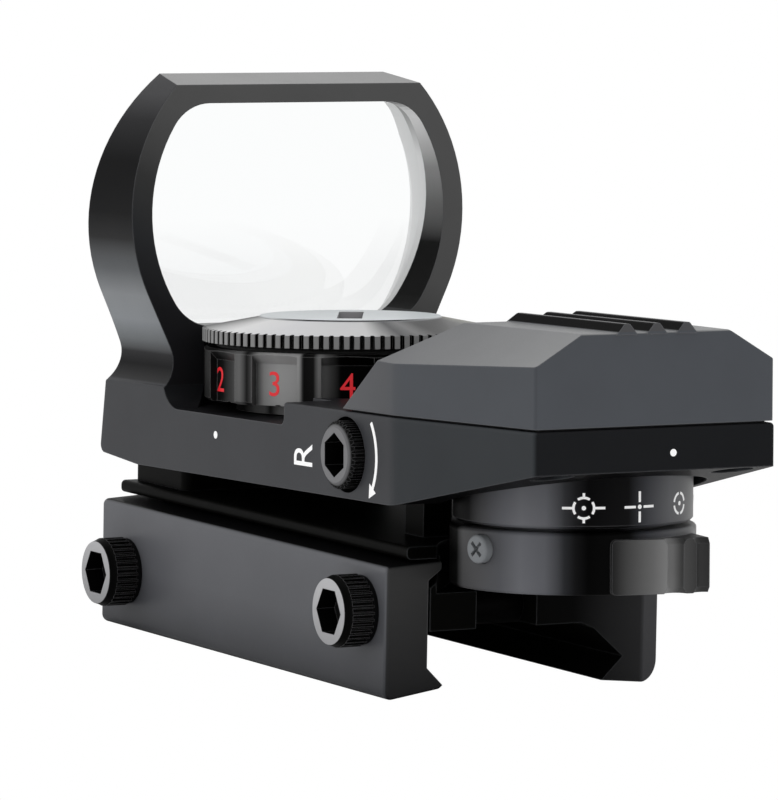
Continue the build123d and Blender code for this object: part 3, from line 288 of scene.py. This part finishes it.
def ink(name, colour, glow):
    """Screen-printed paint, a little uneven, with a painted glow from emission so that it reads in shade."""
    n = Nodes(name)
    place = n.add("ShaderNodeTexCoord").outputs["Object"]
    cover = n.add("ShaderNodeTexNoise", {"Vector": place, "Scale": 6000.0, "Detail": 2.0})
    shade = n.add("ShaderNodeMapRange", {"Value": cover.outputs[0], "To Min": 0.9, "To Max": 1.05})
    tone = n.add("ShaderNodeVectorMath", {0: colour, "Scale": shade.outputs[0]}, operation="SCALE")
    return n.finish(n.add("ShaderNodeBsdfPrincipled", {"Base Color": tone.outputs[0], "Roughness": 0.5,
                                                       "Emission Color": tone.outputs[0],
                                                       "Emission Strength": glow}))


def housing_tone(n):
    """Anodised casting with light and shade painted into its colour: mid grey flanks, a darker tail and
    underside, the hood's soft bands of light, its bright inner wall and a painted highlight on its top.
    """
    height = n.measure(BODY_UP, BODY_FOOT)
    depth = n.measure(BODY_AHEAD, BODY_FOOT)
    across = n.measure(BODY_SIDE)
    left = n.facing(LEFT, 0.25, 0.6)
    back = n.facing(BACK, 0.5, 0.9)
    above = n.facing(TOP, 0.85, 0.97)
    # Painted shade: the flank changes at the bend, and faces turned from the left, the rear face and the
    # underside are darker
    flank = n.ramp(depth, [(BODY_BEND_Y - 1, "#2f3235"), (BODY_BEND_Y + 1, "#37383b")])
    tray = n.blend(left, "#1c1c1e", flank)
    tray = n.blend(back, tray, "#1a1b1d")
    tray = n.blend(n.facing(UNDER, 0.5, 0.9), tray, "#0b0b0c")
    # Painted bands of light and shade up the hood's outside
    outside = n.ramp(height, [(11.3, "#2a2a2b"), (13.0, "#161617"), (14.2, "#222224"), (15.5, "#5c6063"),
                              (17.5, "#7c8084"), (20.0, "#7a7d80"), (22.5, "#4c4f52"), (25.5, "#202021"),
                              (28.0, "#121213"), (33.0, "#0b0b0c"), (37.0, "#1c1c1e"), (39.5, "#303032")])
    # Painted reflection: the hood's inner wall brightens upwards
    inside = n.ramp(height, [(17.0, "#040404"), (24.5, "#060606"), (28.5, "#606060"), (32.0, "#8c8c8c"),
                             (37.0, "#f0f0f0")])
    # Painted light on the hood's rear face, brighter upwards and to the right
    rim = n.ramp(n.maths("ADD", height, n.maths("MULTIPLY", across, 0.6)),
                 [(8.0, "#1a1a1c"), (10.0, "#1b1b1d"), (15.5, "#27282a"), (21.5, "#333333"),
                  (26.5, "#474747"), (30.0, "#4f4f4f"), (40.0, "#515151")])
    # Painted light: the inner wall ahead of the lens, seen through it, is near white
    front = n.ramp(height, [(20.0, "#e0e0e0"), (36.0, "#f4f4f4")])
    lens_depth = n.maths("ADD", depth, n.maths("MULTIPLY", n.maths("SUBTRACT", height, HOOD_CENTRE_Z),
                                               LENS_LEAN))
    lens_front = LENS_REAR_Y + LENS_THICKNESS
    inside = n.blend(n.step(lens_depth, lens_front, lens_front + 0.1), inside, front)
    # Painted shade on the hood's faces turned from the left
    hood = n.blend(left, "#2a2a2c", outside)
    hood = n.blend(n.maths("MULTIPLY", left, n.step(across, -0.5, 0.5)), hood, inside)
    hood = n.blend(back, hood, rim)
    # Painted highlight on the hood's top
    hood = n.blend(above, hood, "#8a8a8a")
    return n.blend(n.step(height, BODY_TOP_Z + 0.05, BODY_TOP_Z + 0.2), tray, hood)


def cover_tone(n):
    """Cover with light and shade painted into its colour: bevels lightened as a painted highlight, grey
    flanks that change at the bend, and grip ribs with left faces painted near black as shade.
    """
    height = n.measure(BODY_UP, BODY_FOOT)
    depth = n.measure(BODY_AHEAD, BODY_FOOT)
    # Painted light on the flanks, changing at the bend
    flank = n.ramp(depth, [(BODY_BEND_Y - 1.5, "#46494e"), (BODY_BEND_Y + 1.5, "#4c4d50"),
                           (-20.0, "#56575a")])
    # Painted shade on faces turned from the left
    tone = n.blend(n.facing(LEFT, 0.5, 0.8), "#3a3a3c", flank)
    tone = n.blend(n.facing(BACK, 0.6, 0.9), tone, "#4a4d52")
    # Painted highlight on the top bevel, brightest at the rear
    tone = n.blend(n.facing(TOP, 0.55, 0.75), tone, n.ramp(depth, [(-51.0, "#808182"), (-25.0, "#626365")]))
    # Painted shade: the ribs' left faces are near black
    ribs = n.blend(n.facing(LEFT, 0.2, 0.5), "#4c4c4e", "#0a0a0a")
    return n.blend(n.step(height, COVER_TOP_Z + 0.02, COVER_TOP_Z + 0.1), tone, ribs)


def plate_tone(n):
    """Loose jaw with painted shade: a grey side that darkens downwards, a darker rear end and a black inside.
    """
    tone = n.ramp(n.measure(TOP), [(-6.0, "#36373a"), (-4.0, "#424347"), (0.0, "#56575b"), (6.0, "#5c5d61")])
    tone = n.blend(n.facing(LEFT, 0.4, 0.8), "#0e0e0f", tone)
    end = n.ramp(n.measure(TOP), [(-6.0, "#242425"), (6.0, "#3a3a3a")])
    return n.blend(n.facing(BACK, 0.6, 0.9), tone, end)


def base_tone(n):
    """Base and fixed jaw: near black, with painted light on the rear end, brighter to the right, and a
    painted highlight on the bevel.
    """
    across = n.measure(BODY_SIDE)
    end = n.ramp(across, [(-6.0, "#050504"), (5.0, "#0a0a0a"), (9.0, "#202021"), (14.0, "#2a2a2b")])
    tone = n.blend(n.facing(BACK, 0.6, 0.9), "#0d0d0c", end)
    bevel = n.step(across, JAW_BEVEL_X - 0.2, JAW_BEVEL_X + 0.2)
    return n.blend(n.maths("MULTIPLY", n.facing(BACK, 0.6, 0.9), bevel), tone, "#39393b")


def dial_tone(n):
    """Turned ring with painted highlights: the facets catch the light one after the other."""
    turn = n.bearing(*DIAL_CENTRE)
    return n.ramp(turn, [(-60, "#101010"), (20, "#020202"), (33, "#030303"), (37, "#3c3c3c"), (41, "#6a6a6a"),
                         (43, "#141414"), (47.5, "#0c0c0c"), (49, "#909090"), (60, "#949494"),
                         (67, "#808080"), (71, "#303030"), (73, "#101010"), (77, "#5a5a5a"),
                         (88, "#2c2c2c"), (96, "#101010"), (105, "#181818")])


def cap_tone(n):
    """Turned cap with painted reflection: bright at a glancing view and dark from above, with painted bands
    of light round its cone.
    """
    turn = n.bearing(*DIAL_CENTRE)
    out = n.reach(*DIAL_CENTRE)
    cone = n.ramp(turn, [(-75, "#8a8a80"), (-40, "#606060"), (-9, "#585858"), (1, "#7a7a7a"), (9, "#4c4c4e"),
                         (15, "#8a8a8a"), (22, "#c2c2c2"), (60, "#ccccce"), (85, "#dcdcdc"), (105, "#a0a0a0"),
                         (120, "#505050")])
    top = n.blend(n.step(out, CAP_FLAT_RADIUS - 0.1, CAP_FLAT_RADIUS + 0.1), "#cdd2d4", cone)
    slot = n.step(n.measure(BODY_UP, BODY_FOOT), CAP_TOP_Z - 0.25, CAP_TOP_Z - 0.15)
    slot = n.maths("MAXIMUM", slot, n.step(out, CAP_FLAT_RADIUS - 0.3, CAP_FLAT_RADIUS))
    top = n.blend(slot, "#8c8c8e", top)
    # Painted sheen: the light top shows only at a glancing view, dark from above
    glance = n.add("ShaderNodeLayerWeight", {"Blend": 0.5}).outputs["Facing"]
    top = n.blend(n.step(glance, 0.35, 0.62), "#1c1c1d", top)
    # Painted highlights near the flat's edge and on the teeth's tips, painted shade between the teeth
    teeth = n.ramp(out, [(CAP_FLAT_RADIUS, "#9c9c9e"), (CAP_FLAT_RADIUS + 1, "#020202"),
                         (CAP_RADIUS - 0.12, "#050505"), (CAP_RADIUS - 0.05, "#848484")])
    return n.blend(n.facing(TOP, 0.3, 0.5), teeth, top)


def selector_tone(n):
    """Drum, cup and arm: painted bands of light and shade round the turned faces and across the arm."""
    turn = n.bearing(*DRUM_CENTRE)
    drum = n.ramp(turn, [(-90, "#606060"), (-50, "#707070"), (-22, "#646568"), (-6, "#3c3d42"),
                         (4, "#141415"), (24, "#0c0c0d"), (30, "#202022"), (35, "#343538"), (44, "#66676c"),
                         (56, "#707176"), (67, "#606166"), (81, "#3c3c3e"), (90, "#101011"),
                         (98, "#030303")])
    cup = n.ramp(turn, [(-90, "#606060"), (-50, "#707070"), (-22, "#646568"), (-6, "#3c3d42"), (4, "#0c0c0c"),
                        (24, "#030303"), (30, "#141415"), (35, "#28292c"), (44, "#5c5d62"), (56, "#66676c"),
                        (67, "#505155"), (80, "#4a4a4c"), (93, "#484849"), (100, "#080808")])
    round_part = n.blend(n.step(n.measure(BODY_UP, BODY_FOOT), LEVER_TOP_Z, LEVER_TOP_Z + 0.1), cup, drum)
    arm = n.ramp(n.measure(BODY_SIDE), [(-1.5, "#202020"), (-1.0, "#2c2c2c"), (0.5, "#4c4c4c"),
                                        (2.4, "#686868"), (3.8, "#808080"), (4.6, "#707070"),
                                        (5.2, "#4a4a4a"), (6.6, "#363636"), (8.0, "#363636")])
    outer = n.step(n.reach(*DRUM_CENTRE), ARM_INNER_RADIUS, ARM_INNER_RADIUS + 0.07)
    return n.blend(outer, round_part, arm)


def clamp_screw_tone(n):
    """Knurled head: a machined outer face, lighter upwards as painted light, and black grooves painted as
    shade on faces turned from the left.
    """
    machined = n.ramp(n.measure(TOP), [(-4.0, "#8a8a8c"), (4.0, "#b4b4b6")])
    face = n.blend(n.step(n.measure(LEFT), *CLAMP_FACE), "#1a1a1a", machined)
    return n.blend(n.facing(LEFT, 0.6, 0.85), "#060606", face)


def windage_screw_tone(n):
    """Knurled head: a grey outer face, and black grooves painted as shade on faces turned from the left."""
    face = n.blend(n.step(n.measure(LEFT), *WINDAGE_FACE), "#101010", "#707072")
    return n.blend(n.facing(LEFT, 0.6, 0.85), "#060606", face)


HOUSING = metal_finish("housing", housing_tone)
COVER = metal_finish("cover", cover_tone, "#7c7d80")
CLAMP = metal_finish("clamp", plate_tone, "#7c7d80")
BASE = metal_finish("base", base_tone, "#55575a")
DIAL = metal_finish("dial", dial_tone, "#8a8a8a", bevel=0.12)
CAP = metal_finish("cap", cap_tone, "#9a9a9a", bevel=0.08, edge_wear_and_highlight=0.4)
SELECTOR = metal_finish("selector", selector_tone, "#7a7a7c", bevel=0.15)
CLAMP_SCREW = metal_finish("clamp_screw", clamp_screw_tone, "#8a8a8c", bevel=0.1, edge_wear_and_highlight=0.5)
WINDAGE_SCREW = metal_finish("windage_screw", windage_screw_tone, "#8a8a8c", bevel=0.1, edge_wear_and_highlight=0.4)
BLACK_STEEL = metal_finish("black_steel", "#0c0c0d", "#6a6a6c", bevel=0.10)
SCREW_STEEL = metal_finish("screw_steel", "#7c7f82", "#b0b0b0", bevel=0.10)
STEEL = brushed_finish("steel", (0.42, 0.43, 0.45), 0.30, (1, 1, 6))
CELL = brushed_finish("cell", (0.70, 0.69, 0.66), 0.24, (1, 1, 8))
BRASS = brushed_finish("brass", (0.72, 0.52, 0.22), 0.28, (4, 1, 1))
LENS = coated_glass("lens_glass", 0.07, (0.985, 0.99, 0.99))
WINDOW = coated_glass("window_glass", 0.06, (0.8, 0.82, 0.85))
MIRROR = brushed_finish("mirror", (0.92, 0.92, 0.92), 0.10, (1, 1, 1))
RUBBER = moulded("seal_rubber", (0.008, 0.008, 0.008), 0.7)
BOARD = moulded("board", (0.02, 0.14, 0.06), 0.45)
RED_LAMP = moulded("red_lamp", (0.6, 0.02, 0.015), 0.15)
WIRE = moulded("wire", (0.45, 0.02, 0.02), 0.5)
PLASTIC = moulded("black_plastic", (0.02, 0.02, 0.02), 0.5)
WHITE_INK = ink("white_ink", (0.85, 0.85, 0.85), 0.25)
RED_INK = ink("red_ink", (0.62, 0.012, 0.02), 0.35)

BY_SLOT = {"black_housing": HOUSING, "black_clamp": CLAMP, "black_steel": BLACK_STEEL, "bright_steel": STEEL,
           "dial_metal": DIAL, "lens_glass": LENS, "window_glass": WINDOW, "mirror": MIRROR,
           "seal_rubber": RUBBER, "board": BOARD, "red_lamp": RED_LAMP, "wire_red": WIRE,
           "cell_steel": CELL, "contact_brass": BRASS, "black_plastic": PLASTIC}
BY_NODE = {"emitter_cover": COVER, "mount_base": BASE, "pivot_block": BASE, "battery_cap": CAP,
           "selector_drum": SELECTOR, "selector_lever": SELECTOR, "selector_lever_screw": SCREW_STEEL,
           "clamp_screw_front": CLAMP_SCREW, "clamp_screw_rear": CLAMP_SCREW,
           "windage_screw": WINDAGE_SCREW}


def dress_cad_nodes():
    """Give every CAD node its material, by name or by its record slot."""
    slots = {part["node"]: part["material_slot"] for part in frame["record"]["subparts"]}
    for name, node in frame["nodes"].items():
        material = BY_NODE.get(name, BY_SLOT[slots[name]])
        node.data.materials.clear()
        node.data.materials.append(material)


# ---------------------------------------------------------------- printed marks

def ribbon(mesh, line, width, thick, closed=False):
    """Adds a closed strip of ink along a line of (x, y) points, in millimetres."""
    count = len(line)
    rings = []
    for i, (x, y) in enumerate(line):
        before = line[i - 1] if (i or closed) else line[i]
        after = line[(i + 1) % count] if (i < count - 1 or closed) else line[i]
        along = Vector((after[0] - before[0], after[1] - before[1])).normalized()
        side = Vector((-along.y, along.x)) * width / 2
        rings.append([mesh.verts.new((x + s * side.x, y + s * side.y, z))
                      for s, z in ((1, 0), (-1, 0), (-1, thick), (1, thick))])
    pairs = list(zip(rings, rings[1:]))
    if closed:
        pairs.append((rings[-1], rings[0]))
    else:
        mesh.faces.new(rings[0])
        mesh.faces.new(rings[-1][::-1])
    for a, b in pairs:
        for k in range(4):
            mesh.faces.new((a[k], b[k], b[(k + 1) % 4], a[(k + 1) % 4]))


def ink_dot(mesh, x, y, radius, thick, steps=24):
    """Adds a round spot of ink."""
    rims = []
    for z in (0, thick):
        rims.append([mesh.verts.new((x + radius * math.cos(2 * math.pi * k / steps),
                                     y + radius * math.sin(2 * math.pi * k / steps), z))
                     for k in range(steps)])
    mesh.faces.new(rims[0][::-1])
    mesh.faces.new(rims[1])
    for k in range(steps):
        nxt = (k + 1) % steps
        mesh.faces.new((rims[0][k], rims[0][nxt], rims[1][nxt], rims[1][k]))


def arc(radius, start, end, steps=12, centre=(0, 0)):
    """Points along an arc, angles in degrees."""
    return [(centre[0] + radius * math.cos(math.radians(start + (end - start) * k / steps)),
             centre[1] + radius * math.sin(math.radians(start + (end - start) * k / steps)))
            for k in range(steps + 1)]


def bar(x0, y0, x1, y1, steps=8):
    """Points along a straight line."""
    return [(x0 + (x1 - x0) * k / steps, y0 + (y1 - y0) * k / steps) for k in range(steps + 1)]


def make_mark(name, mesh, material, body):
    """Turns a bmesh in the shared frame, in metres, into a piece that rides on a body."""
    bmesh.ops.recalc_face_normals(mesh, faces=mesh.faces)
    data = bpy.data.meshes.new(name)
    mesh.to_mesh(data)
    mesh.free()
    piece = bpy.data.objects.new(name, data)
    bpy.context.scene.collection.objects.link(piece)
    data.materials.append(material)
    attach(piece, body)
    return piece


def flat_mark(name, draw, matrix, material, body):
    """A mark drawn flat in millimetres and laid on a plane."""
    mesh = bmesh.new()
    draw(mesh)
    for v in mesh.verts:
        v.co = matrix @ (v.co * MM)
    return make_mark(name, mesh, material, body)


def text_mark(name, text, height, matrix, material, body, squeeze=1.0):
    """Letter or number, centred on the matrix, as a thin closed solid."""
    curve = bpy.data.curves.new(name + "_outline", "FONT")
    curve.body = text
    curve.align_x = "CENTER"
    curve.extrude = INK
    curve.resolution_u = 6
    source = bpy.data.objects.new(name + "_source", curve)
    bpy.context.scene.collection.objects.link(source)
    bpy.context.view_layer.update()
    data = bpy.data.meshes.new_from_object(source.evaluated_get(bpy.context.evaluated_depsgraph_get()))
    bpy.data.objects.remove(source)
    mesh = bmesh.new()
    mesh.from_mesh(data)
    bmesh.ops.remove_doubles(mesh, verts=mesh.verts, dist=1e-4)
    low = min(v.co.y for v in mesh.verts)
    high = max(v.co.y for v in mesh.verts)
    left = min(v.co.x for v in mesh.verts)
    right = max(v.co.x for v in mesh.verts)
    scale = height / (high - low)
    for v in mesh.verts:
        flat = Vector(((v.co.x - (left + right) / 2) * scale * squeeze, (v.co.y - (low + high) / 2) * scale,
                       v.co.z))
        v.co = matrix @ (flat * MM)
    return make_mark(name, mesh, material, body)


def drum_mark(name, draw, angle, height):
    """A mark drawn flat in millimetres and wrapped on the selector drum."""
    mesh = bmesh.new()
    draw(mesh)
    for v in mesh.verts:
        turn = angle + v.co.x / DRUM_RADIUS
        radius = DRUM_RADIUS - INK + v.co.z
        x = DRUM_CENTRE[0] + radius * math.sin(turn)
        y = DRUM_CENTRE[1] - radius * math.cos(turn)
        v.co = body_matrix(x, y, height + v.co.y, (1, 0, 0), (0, 0, 1)).translation
    return make_mark(name, mesh, WHITE_INK, "selector")


def broken_circle(mesh, first):
    """Four arcs with gaps between them, the first gap at an angle in degrees."""
    for k in range(4):
        start = first + 90 * k + 10
        ribbon(mesh, arc(ICON_RADIUS, start, start + 70), STROKE, 2 * INK)


def ticks(mesh, inner, wide, tall):
    """Four bars that point at the middle."""
    for x, y, outer in ((1, 0, wide), (0, 1, tall), (-1, 0, wide), (0, -1, tall)):
        ribbon(mesh, bar(inner * x, inner * y, outer * x, outer * y), STROKE, 2 * INK)


def icon_circle_cross(mesh):
    broken_circle(mesh, 45)
    ticks(mesh, ICON_RADIUS, 1.95, 1.35)
    ink_dot(mesh, 0, 0, ICON_DOT_RADIUS, 2 * INK)


def icon_cross(mesh):
    ticks(mesh, 0.42, 1.55, 1.4)
    ink_dot(mesh, 0, 0, ICON_DOT_RADIUS, 2 * INK)


def icon_circle_dot(mesh):
    broken_circle(mesh, 0)
    ink_dot(mesh, 0, 0, ICON_DOT_RADIUS, 2 * INK)


def icon_dot(mesh):
    ink_dot(mesh, 0, 0, 0.3, 2 * INK)


def print_reticle_signs():
    """Four signs on the drum, the cross nearly under the tail's white dot."""
    index = math.radians(2.0)
    for k, (name, draw) in enumerate((("circle_cross", icon_circle_cross), ("cross", icon_cross),
                                      ("circle_dot", icon_circle_dot), ("dot", icon_dot))):
        drum_mark("sign_" + name, draw, index + (k - 1) * RETICLE_STEP, SIGN_HEIGHT)


def print_dial_numbers():
    """One number on each facet, counted round the dial."""
    for k in range(DIAL_POSITIONS):
        angle = math.pi + 2 * math.pi / DIAL_POSITIONS * (k - DIGIT_AT_INDEX)
        out = Vector((math.cos(angle), math.sin(angle), 0))
        right = Vector((-out.y, out.x, 0))
        spot = Vector((*DIAL_CENTRE, DIAL_NUMBER_Z)) + out * DIAL_FACET - right * DIGIT_SHIFTS.get(k, 0)
        place = body_matrix(*spot, right, (0, 0, 1))
        text_mark(f"number_{k}", str(k), NUMBER_HEIGHT, place, RED_INK, "dial", squeeze=NUMBER_SQUEEZE)


def print_body_marks():
    """Index dots, and the direction letter and arrow round the windage screw."""
    side_right, side_up = (0, -1, 0), (0, 0, 1)
    dot_place = body_matrix(SIDE_X, *SIDE_DOT, side_right, side_up)
    flat_mark("side_index_dot", lambda m: ink_dot(m, 0, 0, SIDE_DOT_RADIUS, INK), dot_place, WHITE_INK,
              "optic")
    across, up = REAR_DOT
    rear_place = body_matrix(across, REAR_Y, up, (1, 0, 0), (0, 0, 1))
    flat_mark("rear_index_dot", lambda m: ink_dot(m, 0, 0, REAR_DOT_RADIUS, INK), rear_place, WHITE_INK,
              "optic")
    letter_place = body_matrix(SIDE_X, *LETTER, (0, 0, 1), (0, 1, 0))
    text_mark("direction_letter", "R", LETTER_HEIGHT, letter_place, WHITE_INK, "optic",
              squeeze=LETTER_SQUEEZE)

    def curved_arrow(mesh):
        ribbon(mesh, arc(ARROW_RADIUS, ARROW_START, ARROW_ROOT), ARROW_STROKE, INK)
        tip = arc(ARROW_RADIUS, ARROW_TIP, ARROW_TIP, 1)[0]
        root = arc(ARROW_RADIUS, ARROW_ROOT, ARROW_ROOT, 1)[0]
        along = (Vector(tip) - Vector(root)).normalized()
        side = Vector((-along.y, along.x))
        head = [Vector(root) + side * ARROW_HEAD, Vector(tip), Vector(root) - side * ARROW_HEAD]
        low = [mesh.verts.new((p.x, p.y, 0)) for p in head]
        top = [mesh.verts.new((p.x, p.y, INK)) for p in head]
        mesh.faces.new(low[::-1])
        mesh.faces.new(top)
        for k in range(3):
            nxt = (k + 1) % 3
            mesh.faces.new((low[k], low[nxt], top[nxt], top[k]))

    screw_place = body_matrix(SIDE_X, *ARROW, side_right, side_up)
    flat_mark("direction_arrow", curved_arrow, screw_place, WHITE_INK, "optic")


# ---------------------------------------------------------------- stage

SURROUND = 0.85


def studio():
    """Pale floor, an even pale surround, and soft boxes above and to the left.

    The camera sees the floor and the surround as plain white, while the object sees them a little darker.
    """
    low = cad_box[0][2] - 0.02 * MM
    bpy.ops.mesh.primitive_plane_add(size=30, location=(0, 0, low))
    floor = bpy.context.object
    floor.name = "floor"
    n = Nodes("floor")
    place = n.add("ShaderNodeTexCoord").outputs["Object"]
    mottle = n.add("ShaderNodeTexNoise", {"Vector": place, "Scale": 3.0, "Detail": 2.0})
    shade = n.add("ShaderNodeMapRange", {"Value": mottle.outputs[0], "To Min": 0.90, "To Max": 0.92})
    matte = n.add("ShaderNodeBsdfDiffuse", {"Color": shade.outputs[0]})
    seen = n.add("ShaderNodeLightPath").outputs["Is Camera Ray"]
    lit = n.add("ShaderNodeEmission", {"Color": (1, 1, 1, 1), "Strength": 1.0})
    floor.data.materials.append(n.finish(n.add("ShaderNodeMixShader", {0: seen, 1: matte.outputs[0],
                                                                      2: lit.outputs[0]})))

    world = bpy.data.worlds.new("surround")
    bpy.context.scene.world = world
    world.use_nodes = True
    tree = world.node_tree
    path = tree.nodes.new("ShaderNodeLightPath")
    strength = tree.nodes.new("ShaderNodeMapRange")
    tree.links.new(path.outputs["Is Camera Ray"], strength.inputs["Value"])
    strength.inputs["To Min"].default_value = SURROUND
    strength.inputs["To Max"].default_value = 1.0
    tree.nodes["Background"].inputs[0].default_value = (1.0, 1.0, 1.0, 1)
    tree.links.new(strength.outputs[0], tree.nodes["Background"].inputs[1])

    def soft_box(name, place, aim, size, power):
        light = bpy.data.lights.new(name, "AREA")
        light.shape = "RECTANGLE"
        light.size, light.size_y = size
        light.energy = power
        lamp = bpy.data.objects.new(name, light)
        bpy.context.scene.collection.objects.link(lamp)
        lamp.location = place
        lamp.rotation_euler = (Vector(aim) - Vector(place)).to_track_quat("-Z", "Y").to_euler()

    centre = (0, -0.01, 0.015)
    soft_box("soft_box_top", (0.0, 0.1, 0.6), centre, (0.6, 0.6), 0.7)
    soft_box("soft_box_left", (-0.6, 0.35, 0.25), centre, (0.4, 0.4), 0.5)


def camera():
    """Long lens from the rear left, a little above the object."""
    azimuth, elevation, roll = math.radians(-29.4), math.radians(5.69), math.radians(1.0)
    distance = 584.42 * MM
    shift_right, shift_up = 1.33 * MM, 11.21 * MM
    aim = Vector((0, 0, 6.9)) * MM
    back = Vector((math.sin(azimuth) * math.cos(elevation), -math.cos(azimuth) * math.cos(elevation),
                   math.sin(elevation)))
    right = Vector((math.cos(azimuth), math.sin(azimuth), 0))
    up = back.cross(right)
    right, up = (right * math.cos(roll) + up * math.sin(roll), up * math.cos(roll) - right * math.sin(roll))
    data = bpy.data.cameras.new("camera")
    data.lens = 273.7
    data.clip_start = 0.01
    view = bpy.data.objects.new("camera", data)
    bpy.context.scene.collection.objects.link(view)
    turn = Matrix((right, up, back)).transposed().to_4x4()
    view.matrix_world = Matrix.Translation(aim + back * distance + right * shift_right + up * shift_up) @ turn
    bpy.context.scene.camera = view


dress_cad_nodes()
print_dial_numbers()
print_reticle_signs()
print_body_marks()
studio()
camera()
bpy.context.scene.view_settings.view_transform = "Standard"
